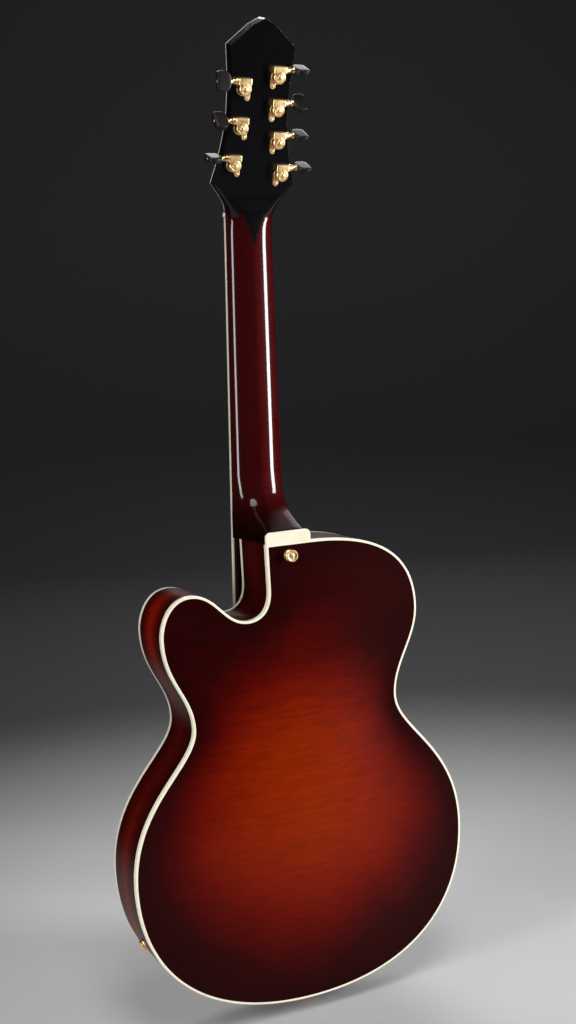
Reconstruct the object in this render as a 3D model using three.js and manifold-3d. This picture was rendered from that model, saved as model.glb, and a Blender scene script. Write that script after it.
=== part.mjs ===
// A seven-string archtop guitar with one rounded cutaway, modelled as it comes apart on a luthier's
// bench: carved plates, rim, blocks, tone bars, bindings, neck, fretboard, head overlay, truss rod,
// floating bridge with thumbwheels, tailpiece, floating pickup, controls, strings and seven geared
// tuners.
//
// Millimetres. +Z runs up the centre line from the tail button to the head, -Y is the front
// (soundboard) side and +X the treble side. The origin is the middle of the tail button's outer face.
import * as THREE from "three";
import { mergeVertices } from "three/addons/utils/BufferGeometryUtils.js";
import Module from "manifold-3d";

const wasm = await Module();
wasm.setup();

// ---------------------------------------------------------------- driving dimensions
const GAP = 0.3; // clearance between separate pieces
const BASE = 16.5; // tail of the rim above the origin: the tail button and the hanger's foot
const BODY_LENGTH = 526;
const LOWER_BOUT = 406;
const WAIST = 250;
const UPPER_BOUT = 314;
const RIM_DEPTH = 75; // over both plates' edges
const PLATE = 5; // plate thickness
const TOP_ARCH = 17;
const BACK_ARCH = 16;
const BINDING_WIDTH = 3;
const BINDING_DEPTH = 6;
const RIM_WALL = 3;
const LINING = 5.5; // kerfed lining, inside the rim wall
const HEEL_HALF = 27.5; // half width of the heel, bass side; the cutaway wall is the treble side
const CUTAWAY_WALL = 27;

const SCALE = 647.7;
const FRETS = 22;
const BODY_FRET = 14; // the fret at the body's edge
const NECK_PITCH = 4.2; // degrees, neck tilted back from the rim's plane
const HEAD_PITCH = 13.5; // degrees, head tilted back from the neck
const NUT_Y = -20; // the neck's gluing plane at the nut
const NUT_WIDTH = 54;
const BOARD_END_WIDTH = 65;
const BOARD = 6; // fretboard thickness
const NECK_DEPTH_NUT = 16;
const NECK_DEPTH_MID = 17.2;
const NECK_DEPTH_HEEL = 18.5;

const HEAD_CORE = 13; // thickness of the head without its overlay
const OVERLAY = 2.5;
const HEAD_LENGTH = 210;

const STRING_DIAMETERS = [1.9, 1.37, 1.07, 0.81, 0.61, 0.43, 0.33]; // bass to treble
const STRING_SPAN_NUT = 45;
const STRING_SPAN_SADDLE = 61;
const ACTION_NUT = 1.7; // string's underside above the board
const ACTION_SADDLE = 4.7;

const PLATE_CENTRE = 270; // height of the arch's crown above the tail
const EDGE_SHARE = 0.93; // the arch dies out at this share of the way to the outline

// ---------------------------------------------------------------- finishes
const finish = (color, roughness, metalness = 0) =>
  new THREE.MeshStandardMaterial({ color, roughness, metalness });
const WOOD_BACK = finish(0x7a2408, 0.15);
const WOOD_TOP = finish(0x8a3a10, 0.15);
const WOOD_NECK = finish(0x4a0a0a, 0.15);
const WOOD_INSIDE = finish(0xc9a26b, 0.7);
const IVORY = finish(0xf1e6c8, 0.3);
const BLACK_LACQUER = finish(0x0b0b0d, 0.12);
const EBONY = finish(0x14100e, 0.35);
const GOLD = finish(0xd9a441, 0.22, 1);
const STEEL = finish(0xb9bcc2, 0.3, 1);
const BRONZE = finish(0xa8783f, 0.35, 1);

// ---------------------------------------------------------------- geometry helpers
const vec = (x, y, z) => new THREE.Vector3(x, y, z);
const rad = THREE.MathUtils.degToRad;

// A closed geometry as a manifold-3d solid.
function solid(geometry) {
  const bare = geometry.index ? geometry.toNonIndexed() : geometry.clone();
  const plain = new THREE.BufferGeometry();
  plain.setAttribute("position", bare.getAttribute("position"));
  const merged = mergeVertices(plain, 1e-4);
  return new wasm.Manifold(
    new wasm.Mesh({
      numProp: 3,
      vertProperties: merged.attributes.position.array,
      triVerts: new Uint32Array(merged.index.array),
    }),
  );
}

// A manifold-3d solid as a geometry.
function geometryOf(made) {
  const mesh = made.getMesh();
  const geometry = new THREE.BufferGeometry();
  geometry.setAttribute("position", new THREE.BufferAttribute(new Float32Array(mesh.vertProperties), 3));
  geometry.setIndex(new THREE.BufferAttribute(new Uint32Array(mesh.triVerts), 1));
  return geometry;
}

const union = (...parts) => parts.reduce((a, b) => a.add(b));

// A box given by its lowest and highest corners.
function box([x0, y0, z0], [x1, y1, z1]) {
  const geometry = new THREE.BoxGeometry(x1 - x0, y1 - y0, z1 - z0);
  return solid(geometry.translate((x0 + x1) / 2, (y0 + y1) / 2, (z0 + z1) / 2));
}

// A cylinder of radius r from point a to point b.
function rod(a, b, r, sides = 16) {
  const axis = b.clone().sub(a);
  const geometry = new THREE.CylinderGeometry(r, r, axis.length(), sides);
  const turn = new THREE.Quaternion().setFromUnitVectors(vec(0, 1, 0), axis.clone().normalize());
  geometry.applyQuaternion(turn);
  const middle = a.clone().add(b).multiplyScalar(0.5);
  return solid(geometry.translate(middle.x, middle.y, middle.z));
}

// A turned piece: profile is [[radius, height], ...] from the axis back to the axis, height along axis.
function turned(profile, origin, axis, sides = 16) {
  const points = profile.map(([r, h]) => new THREE.Vector2(r, h));
  const geometry = new THREE.LatheGeometry(points, sides);
  geometry.applyQuaternion(new THREE.Quaternion().setFromUnitVectors(vec(0, 1, 0), axis));
  geometry.translate(origin.x, origin.y, origin.z);
  const made = solid(geometry);
  return made.volume() < 0 ? solid(flipped(geometry)) : made;
}

function flipped(geometry) {
  const index = geometry.index.array;
  for (let i = 0; i < index.length; i += 3) [index[i + 1], index[i + 2]] = [index[i + 2], index[i + 1]];
  return geometry;
}

const polygon = (corners) => new THREE.Shape(corners.map(([x, z]) => new THREE.Vector2(x, z)));

// A shape in the XZ plane extruded from y0 to y1.
function slab(shape, y0, y1, curveSegments = 8) {
  const geometry = new THREE.ExtrudeGeometry(shape, { depth: y1 - y0, bevelEnabled: false, curveSegments });
  geometry.rotateX(Math.PI / 2); // shape's y becomes z, depth runs to -Y
  return solid(geometry.translate(0, y1, 0));
}

// A skin over closed sections of equal point counts, each [Vector3, ...], capped at both ends.
function loft(sections) {
  const count = sections[0].length;
  const positions = sections.flat().flatMap((p) => [p.x, p.y, p.z]);
  const faces = [];
  for (let s = 0; s < sections.length - 1; s++) {
    for (let i = 0; i < count; i++) {
      const a = s * count + i;
      const b = s * count + ((i + 1) % count);
      faces.push(a, b, b + count, a, b + count, a + count);
    }
  }
  for (const [s, turn] of [[0, 1], [sections.length - 1, -1]]) {
    const centre = positions.length / 3;
    const middle = sections[s].reduce((sum, p) => sum.add(p), vec(0, 0, 0)).divideScalar(count);
    positions.push(middle.x, middle.y, middle.z);
    for (let i = 0; i < count; i++) {
      const pair = [s * count + i, s * count + ((i + 1) % count)];
      faces.push(centre, ...(turn > 0 ? pair.reverse() : pair));
    }
  }
  const geometry = new THREE.BufferGeometry();
  geometry.setAttribute("position", new THREE.Float32BufferAttribute(positions, 3));
  geometry.setIndex(faces);
  const made = solid(geometry);
  return made.volume() < 0 ? solid(flipped(geometry)) : made;
}

// A tube through points, with its section turned square to the path at each one.
function tube(points, radius, sides = 8) {
  const sections = points.map((p, i) => {
    const before = points[Math.max(i - 1, 0)];
    const after = points[Math.min(i + 1, points.length - 1)];
    const along = after.clone().sub(before).normalize();
    const side = vec(1, 0, 0).addScaledVector(along, -along.x).normalize();
    const up = along.clone().cross(side);
    return Array.from({ length: sides }, (_, k) => {
      const angle = (2 * Math.PI * k) / sides;
      const across = side.clone().multiplyScalar(radius * Math.cos(angle));
      return p.clone().add(across).addScaledVector(up, radius * Math.sin(angle));
    });
  });
  return loft(sections);
}

function mesh(name, made, material) {
  const made3 = new THREE.Mesh(geometryOf(made), material);
  made3.name = name;
  return made3;
}

// ---------------------------------------------------------------- body outline
// Knots of the outline from the tail round by the treble side, [x, z] with z measured from the tail:
// the way the outline is heading there, its curve handles' lengths and the facets up to the next knot.
const KNOTS = [
  { at: [0, 0], heading: [1, 0], before: 128, after: 128, steps: 9 },
  { at: [LOWER_BOUT / 2, 170], heading: [0, 1], before: 104, after: 94, steps: 7 },
  { at: [WAIST / 2, 335], heading: [0, 1], before: 40, after: 37, steps: 4 },
  { at: [155, 436], heading: [0, 1], before: 48, after: 17, steps: 3 },
  { at: [119, 481], heading: [-1, 0], before: 26, after: 31, steps: 4 },
  { at: [53, 445], heading: [-1, 0], before: 28, after: 14, steps: 4 },
  { at: [CUTAWAY_WALL, 476], heading: [0, 1], before: 22, steps: 1 },
  { at: [CUTAWAY_WALL, BODY_LENGTH], heading: [-1, 0], steps: 1 },
  { at: [-HEEL_HALF, BODY_LENGTH], heading: [-1, 0], after: 86, steps: 6 },
  { at: [-UPPER_BOUT / 2, 436], heading: [0, -1], before: 60, after: 38, steps: 4 },
  { at: [-WAIST / 2, 335], heading: [0, -1], before: 37, after: 42, steps: 7 },
  { at: [-LOWER_BOUT / 2, 170], heading: [0, -1], before: 94, after: 104, steps: 8 },
];

function bezier(a, b, knot, next) {
  const leave = new THREE.Vector2(...knot.heading).multiplyScalar(knot.after);
  const arrive = new THREE.Vector2(...next.heading).multiplyScalar(next.before);
  return new THREE.CubicBezierCurve(a, a.clone().add(leave), b.clone().sub(arrive), b);
}

function bodyOutline() {
  const points = [];
  KNOTS.forEach((knot, i) => {
    const next = KNOTS[(i + 1) % KNOTS.length];
    const [a, b] = [new THREE.Vector2(...knot.at), new THREE.Vector2(...next.at)];
    const straight = knot.steps === 1;
    const curve = straight ? new THREE.LineCurve(a, b) : bezier(a, b, knot, next);
    for (let s = 0; s < knot.steps; s++) points.push(curve.getPoint(s / knot.steps));
  });
  return points;
}
const OUTLINE = bodyOutline();

// The outline moved inwards by inset, with mitred corners.
function inset(distance) {
  return OUTLINE.map((p, i) => {
    const before = OUTLINE[(i + OUTLINE.length - 1) % OUTLINE.length];
    const after = OUTLINE[(i + 1) % OUTLINE.length];
    const inA = p.clone().sub(before).normalize();
    const inB = after.clone().sub(p).normalize();
    const normalA = new THREE.Vector2(-inA.y, inA.x);
    const normalB = new THREE.Vector2(-inB.y, inB.x);
    const mitre = normalA.clone().add(normalB).normalize();
    return p.clone().addScaledVector(mitre, distance / Math.max(mitre.dot(normalA), 0.4));
  });
}

// A ring round the body: profile is [[inset, y], ...], going round the section.
function ring(profile) {
  const loops = profile.map(([distance, y]) => inset(distance).map((p) => vec(p.x, y, p.y + BASE)));
  const count = OUTLINE.length;
  const positions = loops.flat().flatMap((p) => [p.x, p.y, p.z]);
  const faces = [];
  loops.forEach((_, s) => {
    const next = ((s + 1) % loops.length) * count;
    for (let i = 0; i < count; i++) {
      const j = (i + 1) % count;
      faces.push(s * count + i, s * count + j, next + j, s * count + i, next + j, next + i);
    }
  });
  const geometry = new THREE.BufferGeometry();
  geometry.setAttribute("position", new THREE.Float32BufferAttribute(positions, 3));
  geometry.setIndex(faces);
  const made = solid(geometry);
  return made.volume() < 0 ? solid(flipped(geometry)) : made;
}

// ---------------------------------------------------------------- arched plates
// The arch's height as a share of its crown, at a share of the way from the centre to the outline.
const archShare = (share) => (share >= EDGE_SHARE ? 0 : 0.5 * (1 + Math.cos((Math.PI * share) / EDGE_SHARE)));
const OUTER_RINGS = [0.06, 0.28, 0.5, 0.72, EDGE_SHARE, 1];
const INNER_RINGS = [1, EDGE_SHARE, 0.62, 0.3, 0.06];

// A carved plate: side is 1 for the back and -1 for the front, and thickness is measured along Y.
function plate(side, arch, edgeInset, thickness) {
  const outline = inset(edgeInset);
  const edge = (side * RIM_DEPTH) / 2;
  const loopAt = (share, y) =>
    outline.map((p) => vec(p.x * share, y, BASE + PLATE_CENTRE + (p.y - PLATE_CENTRE) * share));
  const outer = OUTER_RINGS.map((share) => loopAt(share, edge + side * arch * archShare(share)));
  const depth = edge - side * thickness;
  const inner = INNER_RINGS.map((share) => loopAt(share, depth + side * arch * archShare(share)));
  return loft([...outer, ...inner]);
}

// The front's surface height at a point of the body, for seating what stands on it.
function frontAt(x, z) {
  const from = new THREE.Vector2(0, PLATE_CENTRE);
  const to = new THREE.Vector2(x, z - BASE).sub(from);
  const angle = Math.atan2(to.y, to.x);
  const spread = (p) => {
    const turn = Math.atan2(p.y - from.y, p.x) - angle;
    return Math.abs(Math.atan2(Math.sin(turn), Math.cos(turn)));
  };
  const nearest = OUTLINE.reduce((best, p) => (spread(p) < spread(best) ? p : best));
  const share = to.length() / nearest.clone().sub(from).length();
  return -RIM_DEPTH / 2 - TOP_ARCH * archShare(share);
}

// ---------------------------------------------------------------- sound holes
const F_HOLE = { x: 76, z: 228, height: 62, width: 9, lean: 12, upperEye: 7, lowerEye: 9 };

// One f-hole's cutter: a leaning slot with a round eye turned in at its head and out at its foot.
function soundHole(side) {
  const { x, z, height, width, lean, upperEye, lowerEye } = F_HOLE;
  const at = (dx, dz) => [side * (x + dx), BASE + z + dz];
  const slope = Math.tan(rad(lean));
  const stem = [
    at(-width / 2 - height * slope, height),
    at(width / 2 - height * slope, height),
    at(width / 2 + height * slope, -height),
    at(-width / 2 + height * slope, -height),
  ];
  const eye = (dx, dz, r) => {
    const [cx, cz] = at(dx, dz);
    return rod(vec(cx, -RIM_DEPTH, cz), vec(cx, -RIM_DEPTH / 2 + PLATE * 2, cz), r, 16);
  };
  const cut = slab(polygon(stem), -RIM_DEPTH, -RIM_DEPTH / 2 + PLATE * 2);
  return union(
    cut,
    eye(-height * slope + upperEye - width / 2, height, upperEye),
    eye(height * slope - lowerEye + width / 2, -height, lowerEye),
  );
}

// ---------------------------------------------------------------- neck frame
// Everything on the neck is drawn in the neck's frame: z = 0 at the nut, the gluing plane at y = 0.
const NUT_Z = BASE + BODY_LENGTH + fretAt(BODY_FRET) * Math.cos(rad(NECK_PITCH));
const neckGroup = new THREE.Group();
neckGroup.position.set(0, NUT_Y, NUT_Z);
neckGroup.rotation.x = rad(-NECK_PITCH);
const headGroup = new THREE.Group();
headGroup.rotation.x = rad(-HEAD_PITCH);
neckGroup.add(headGroup);
neckGroup.updateMatrixWorld(true);
const fromNeck = (p) => p.applyMatrix4(neckGroup.matrixWorld);
const fromHead = (p) => p.applyMatrix4(headGroup.matrixWorld);

// A solid carried by a matrix.
function moved(made, matrix) {
  return solid(geometryOf(made).applyMatrix4(matrix));
}

function fretAt(n) {
  return SCALE * (1 - 2 ** (-n / 12));
}

const BOARD_LENGTH = fretAt(FRETS) + 7;
const boardHalf = (z) => NUT_WIDTH / 2 + ((BOARD_END_WIDTH - NUT_WIDTH) / 2) * (-z / BOARD_LENGTH);

// ---------------------------------------------------------------- neck and head
const HEEL_BACK = 37.5; // world Y of the heel's end, level with the back's edge
const HEEL_CAP = 3;
const HEEL_LENGTH = 13; // the heel cap's height above the body's edge
const TENON = 14; // the neck's tenon into the body
const ROD_Y = 5.2; // truss rod's axis under the gluing plane

// The neck's section at z, w half wide at the board and d deep: a low power squares its shoulders,
// taper narrows it towards the back and tilt leans it up the neck.
function neckSection(z, w, d, power, taper = 0, tilt = 0) {
  const steps = 12;
  return Array.from({ length: steps + 1 }, (_, i) => {
    const angle = (Math.PI * i) / steps;
    const c = Math.cos(angle);
    const depth = Math.sin(angle) ** power;
    const x = w * (1 - taper * depth) * Math.sign(c) * Math.abs(c) ** power;
    return vec(x, d * depth, z + tilt * d * depth);
  });
}

function makeNeck() {
  const joint = -fretAt(BODY_FRET) + GAP;
  const acrossBody = HEEL_BACK - HEEL_CAP - GAP - NUT_Y + fretAt(BODY_FRET) * Math.sin(rad(NECK_PITCH));
  const heelDepth = acrossBody * Math.cos(rad(NECK_PITCH));
  const upright = Math.tan(rad(NECK_PITCH));
  const half = boardHalf(joint);
  const heelTaper = 1 - CUTAWAY_WALL / half;
  const heelTop = HEEL_LENGTH - 2;
  const shaft = [
    neckSection(joint, half, heelDepth, 0.22, heelTaper, upright),
    neckSection(joint + heelTop, half, heelDepth - heelTop * upright, 0.24, heelTaper, upright),
    neckSection(joint + 24, half, heelDepth - 22, 0.45, heelTaper),
    neckSection(joint + 34, half - 1, 34, 0.7),
    neckSection(joint + 50, boardHalf(joint + 50), 22, 0.85),
    neckSection(joint + 72, boardHalf(joint + 72), NECK_DEPTH_HEEL, 0.9),
    neckSection(-fretAt(5), boardHalf(-fretAt(5)), NECK_DEPTH_MID, 0.9),
    neckSection(-8, boardHalf(-8), NECK_DEPTH_NUT, 0.9),
    neckSection(6, NUT_WIDTH / 2, NECK_DEPTH_NUT + 1, 0.9),
  ];
  const tongueEnd = -BOARD_LENGTH + 4;
  const tongue = box([-NUT_WIDTH / 2, 0, tongueEnd], [NUT_WIDTH / 2, 6, joint + 5]);
  const tenon = box([-10, 0, joint - TENON], [10, heelDepth - 6, joint + 5]);
  return union(loft(shaft), tongue, tenon);
}

// Half of the head's outline, bass to treble mirrored: flared shoulders, drawn-in sides, stepped crown.
const HEAD_HALF = [
  [27, -2], [27, 2], [29, 13], [36, 24], [46.5, 37], [40, 60],
  [35.5, 83], [32.5, 109], [33, 145], [37, 182], [13, 203],
];

function headShape() {
  const left = HEAD_HALF.map(([x, s]) => [-x, s]).reverse();
  return polygon([...HEAD_HALF, [0, HEAD_LENGTH], ...left]);
}

// ---------------------------------------------------------------- tuners
// Post positions up the head, numbered from the lowest bass tuner round to the lowest treble one.
// button is the angle, in degrees, that its key is turned to.
const TUNERS = [
  { x: -28.9, s: 49, side: -1, button: 78 },
  { x: -22.5, s: 83.5, side: -1, button: 75 },
  { x: -19.1, s: 117.5, side: -1, button: 50 },
  { x: -17.9, s: 151.5, side: -1, button: 80 },
  { x: 20.9, s: 138.8, side: 1, button: 10 },
  { x: 21.8, s: 98.3, side: 1, button: 50 },
  { x: 27.5, s: 59.2, side: 1, button: 85 },
];

const POST_RADIUS = 3;
const BUSHING_RADIUS = 4.2;
const WORM_RISE = 7.5; // worm axis from the post's axis, up the head
const WORM_OUT = 4.8; // worm axis above the head's back
const WORM_GEAR_RADIUS = 4.6;
const COVER_RADIUS = 7.6; // the round gear cover on the head's back
const FOOT_PLATE = 1.6;
const ARM_REACH = 7.8; // square part of the arm round the worm's shaft
const SLEEVE_REACH = 11.5;
const SLEEVE_RADIUS = 3.7;
const SHAFT_RADIUS = 2.1;
const COLLAR_RADIUS = 3.1;
const BUTTON_START = 17;
const BUTTON_END = 32;
const BUTTON_HALF = 3.6; // half the button's thickness

function orderedBox(a, b) {
  return box(a.map((v, i) => Math.min(v, b[i])), a.map((v, i) => Math.max(v, b[i])));
}

// Local frame of a tuner: the post's axis is Y, y = 0 on the head's back, x outwards to the button.
function tunerPieces({ side, button }) {
  const out = (x) => side * x;
  const front = -HEAD_CORE - OVERLAY - 3 * GAP;
  const plateShape = new THREE.Shape();
  plateShape.absarc(out(-5.5), -11.5, 3, 0, Math.PI * 2);
  const dome = [[0, 0], [COVER_RADIUS, 0], [COVER_RADIUS, 7.4], [6.4, 9], [3, 9.8], [0, 9.8]];
  const cover = turned(dome, vec(0, GAP, 0), vec(0, 1, 0), 14);
  const arm = orderedBox([out(-COVER_RADIUS), GAP, WORM_RISE - 4.1], [out(ARM_REACH), 9, WORM_RISE + 4.1]);
  const wormLine = (x) => vec(out(x), WORM_OUT, WORM_RISE);
  const sleeve = rod(wormLine(0), wormLine(SLEEVE_REACH), SLEEVE_RADIUS, 14);
  const ear = slab(plateShape, GAP, FOOT_PLATE, 3);
  const web = orderedBox([out(-COVER_RADIUS), GAP, -11.5], [out(-1), FOOT_PLATE, 0]);
  const bushing = rod(vec(0, front - 2.5, 0), vec(0, 1, 0), BUSHING_RADIUS, 12);
  const nut = rod(vec(0, front - 2.4, 0), vec(0, front, 0), 6.8, 6);
  const bore = rod(vec(0, front - 5, 0), vec(0, 2, 0), POST_RADIUS + GAP, 12);
  const gearRoom = rod(vec(0, 1.8, 0), vec(0, 7.2, 0), 5.2, 12);
  const wormRoom = rod(wormLine(-6), wormLine(14), SHAFT_RADIUS + 2 * GAP, 8);
  const housing = union(cover, arm, sleeve, ear, web, bushing, nut).subtract(union(bore, gearRoom, wormRoom));

  const R = POST_RADIUS;
  const waisted = [[0, 0], [R, 0], [R, 27.5], [R * 0.77, 30], [R, 33], [R, 36], [0, 36]];
  const post = union(
    turned(waisted, vec(0, 2.2, 0), vec(0, -1, 0), 10),
    rod(vec(0, 2.2, 0), vec(0, 6.6, 0), WORM_GEAR_RADIUS, 12),
  );

  const shaft = union(
    rod(vec(out(-5.2), 0, 0), vec(out(BUTTON_START + 3), 0, 0), SHAFT_RADIUS, 8),
    rod(vec(out(12.2), 0, 0), vec(out(BUTTON_START), 0, 0), COLLAR_RADIUS, 8),
  );
  const paddle = new THREE.Shape();
  paddle.moveTo(out(BUTTON_START), -4);
  paddle.lineTo(out(BUTTON_START + 4), -9);
  paddle.quadraticCurveTo(out(BUTTON_START + 7), -11.5, out(BUTTON_START + 10), -10.5);
  paddle.quadraticCurveTo(out(BUTTON_END), -9, out(BUTTON_END), 0);
  paddle.quadraticCurveTo(out(BUTTON_END), 9, out(BUTTON_START + 10), 10.5);
  paddle.quadraticCurveTo(out(BUTTON_START + 7), 11.5, out(BUTTON_START + 4), 9);
  paddle.lineTo(out(BUTTON_START), 4);
  const turn = new THREE.Matrix4().makeRotationX(rad(button));
  const key = moved(union(shaft, slab(paddle, -BUTTON_HALF, BUTTON_HALF, 3)), turn);
  const keyMatrix = new THREE.Matrix4().makeTranslation(0, WORM_OUT, WORM_RISE);
  return { housing, post, key: moved(key, keyMatrix) };
}

function addTuners(headCut) {
  TUNERS.forEach((tuner, i) => {
    const group = new THREE.Group();
    group.position.set(tuner.x, HEAD_CORE, tuner.s);
    const pieces = tunerPieces(tuner);
    group.add(mesh(`tuner_housing_${i + 1}`, pieces.housing, GOLD));
    group.add(mesh(`tuner_post_${i + 1}`, pieces.post, GOLD));
    group.add(mesh(`tuner_button_${i + 1}`, pieces.key, EBONY));
    headGroup.add(group);
    const hole = [-OVERLAY - 3, HEAD_CORE + 3].map((y) => vec(tuner.x, y, tuner.s));
    headCut.push(rod(...hole, BUSHING_RADIUS + GAP, 12));
  });
}

function addNeckAndHead() {
  const headCut = [];
  addTuners(headCut);
  const rodSlot = box([-3, -1, -fretAt(BODY_FRET + 2)], [3, ROD_Y + 2.8, 1]);
  const rodPocket = box([-6, -1, -3], [6, ROD_Y + 4.2, 14]);
  const headPocket = box([-6, -OVERLAY - 1, 4], [6, 8, 26]);
  const holes = union(...headCut);
  const core = slab(headShape(), 0, HEAD_CORE).subtract(holes).subtract(headPocket);
  const headToNeck = new THREE.Matrix4().makeRotationX(rad(-HEAD_PITCH));
  const nutSeat = box([-40, -12, -30], [40, 0, 5]);
  const screwHole = moved(HEEL_SCREW_HOLE, neckGroup.matrixWorld.clone().invert());
  const cuts = union(rodSlot, rodPocket, moved(headPocket, headToNeck), nutSeat, screwHole);
  const neck = union(makeNeck(), moved(core, headToNeck)).subtract(cuts);
  neckGroup.add(mesh("neck", neck, WOOD_NECK));

  const face = slab(headShape(), -OVERLAY - GAP, -GAP).subtract(holes).subtract(headPocket);
  const nutRoom = box([-50, -20, -10], [50, 20, 6.2]);
  headGroup.add(mesh("headstock_overlay", face.subtract(nutRoom), BLACK_LACQUER));

  const cover = new THREE.Shape();
  cover.moveTo(-9.5, 7.5);
  cover.lineTo(9.5, 7.5);
  cover.quadraticCurveTo(9, 26, 0, 37);
  cover.quadraticCurveTo(-9, 26, -9.5, 7.5);
  headGroup.add(mesh("truss_rod_cover", slab(cover, -OVERLAY - 2 - 2 * GAP, -OVERLAY - 2 * GAP, 5), EBONY));
}

function addTrussRod() {
  const rodEnd = vec(0, ROD_Y, -fretAt(BODY_FRET + 2) + 2);
  neckGroup.add(mesh("truss_rod", rod(rodEnd, vec(0, ROD_Y, 4), 2.4, 10), STEEL));
  const nut = rod(vec(0, ROD_Y, 4 + GAP), vec(0, ROD_Y, 12), 3.6, 6);
  neckGroup.add(mesh("truss_rod_nut", nut, BRONZE));
}

// ---------------------------------------------------------------- fretboard and nut
function addFretboard() {
  const outline = polygon([
    [-boardHalf(0), -GAP],
    [-boardHalf(-BOARD_LENGTH), -BOARD_LENGTH],
    [boardHalf(-BOARD_LENGTH), -BOARD_LENGTH],
    [boardHalf(0), -GAP],
  ]);
  const board = slab(outline, -BOARD, -GAP);
  const frets = Array.from({ length: FRETS }, (_, i) => {
    const z = -fretAt(i + 1);
    const half = boardHalf(z) - 1;
    return box([-half, -BOARD - 1.1, z - 1.2], [half, -BOARD + 0.5, z + 1.2]);
  });
  neckGroup.add(mesh("fretboard", union(board, ...frets), EBONY));
  const half = NUT_WIDTH / 2;
  const top = -BOARD - ACTION_NUT + GAP;
  const section = new THREE.Shape();
  section.moveTo(-GAP, -GAP);
  section.lineTo(-GAP, top);
  section.lineTo(-2.6, top);
  section.lineTo(-5, top + 1.3);
  section.lineTo(-5, -GAP);
  const across = new THREE.ExtrudeGeometry(section, { depth: 2 * half, bevelEnabled: false });
  neckGroup.add(mesh("nut", solid(across.rotateY(Math.PI / 2).translate(-half, 0, 0)), IVORY));
}

// ---------------------------------------------------------------- strings
const stringX = (i, span) => -span / 2 + (span * i) / (STRING_DIAMETERS.length - 1);
const saddlePoint = (i) => fromNeck(vec(stringX(i, STRING_SPAN_SADDLE), -BOARD - ACTION_SADDLE, -SCALE));
const SADDLE = saddlePoint(3);
const TAILPIECE_TOP = BASE + 152;
const TAILPIECE_Y = -64;

function addStrings(group) {
  STRING_DIAMETERS.forEach((diameter, i) => {
    const r = diameter / 2;
    const lift = (p) => p.add(vec(0, -r, 0));
    const anchor = vec(stringX(i, STRING_SPAN_SADDLE * 0.86), TAILPIECE_Y, TAILPIECE_TOP + 0.5);
    const saddle = lift(saddlePoint(i));
    const nutBack = lift(fromNeck(vec(stringX(i, STRING_SPAN_NUT), -BOARD - ACTION_NUT, 2.5)));
    const tuner = TUNERS[i];
    const inward = -tuner.side * (POST_RADIUS + 0.6 + r);
    const post = fromHead(vec(tuner.x + inward, -OVERLAY - 7.5 - r, tuner.s - 0.5));
    group.add(mesh(`string_${i + 1}`, tube([anchor, saddle, nutBack, post], r, 6), i < 5 ? BRONZE : STEEL));
  });
}

// ---------------------------------------------------------------- body
const JOINT_Z = BASE + BODY_LENGTH;

function tenonRoom() {
  const grown = box([-10 - GAP, -GAP, -fretAt(BODY_FRET) - 14 - GAP], [10 + GAP, 80, -fretAt(BODY_FRET) + 8]);
  return moved(grown, neckGroup.matrixWorld);
}

function addBody(group) {
  const half = RIM_DEPTH / 2;
  const plateInner = half - PLATE;
  const bindingInner = half - BINDING_DEPTH;
  const ledge = BINDING_WIDTH + GAP;
  const deep = RIM_WALL + LINING;
  const wall = plateInner - GAP;
  const rim = ring([
    [0, -bindingInner + GAP], [0, bindingInner - GAP], [ledge, bindingInner - GAP], [ledge, wall],
    [deep, wall], [RIM_WALL, wall - LINING * 2], [RIM_WALL, -wall + LINING * 2], [deep, -wall],
    [ledge, -wall], [ledge, -bindingInner + GAP],
  ]);
  const jack = jackFrame();
  const jackHole = moved(rod(vec(0, 0, -30), vec(0, 0, 10), 5.2, 16), jack);
  const tailHole = rod(vec(0, 0, 0), vec(0, 0, BASE + 40), 2.5 + GAP, 12);
  group.add(mesh("rim", rim.subtract(tenonRoom()).subtract(jackHole).subtract(tailHole), WOOD_BACK));

  const bindingRing = (side) => {
    const [face, under] = [side * half, side * bindingInner];
    return ring([[0, face], [BINDING_WIDTH, face], [BINDING_WIDTH, under], [0, under]]);
  };
  group.add(mesh("back_binding", bindingRing(1), IVORY));
  group.add(mesh("top_binding", bindingRing(-1).subtract(tenonRoom()), IVORY));

  const back = plate(1, BACK_ARCH, ledge, PLATE);
  group.add(mesh("back_plate", back.subtract(HEEL_SCREW_HOLE), WOOD_BACK));

  const knobHoles = union(...CONTROLS.map(({ x, z }) => rod(vec(x, -70, z), vec(x, -30, z), 4.8, 16)));
  const top = plate(-1, TOP_ARCH, ledge, PLATE);
  const cuts = union(soundHole(1), soundHole(-1), knobHoles, tenonRoom());
  group.add(mesh("top_plate", top.subtract(cuts), WOOD_TOP));

  const blockTop = BODY_LENGTH + BASE - deep - GAP;
  const inside = plateInner - GAP;
  const blockSide = CUTAWAY_WALL - deep - GAP;
  const neckBlock = box([-blockSide, -inside, blockTop - 58], [blockSide, inside, blockTop]);
  group.add(mesh("neck_block", neckBlock.subtract(tenonRoom()).subtract(HEEL_SCREW_HOLE), WOOD_INSIDE));

  const tailBlock = box([-36, -inside, BASE + 15], [36, inside, BASE + 34]);
  group.add(mesh("tail_block", tailBlock.subtract(tailHole), WOOD_INSIDE));

  addToneBars(group);
  addHeelCap(group);
}

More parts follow.
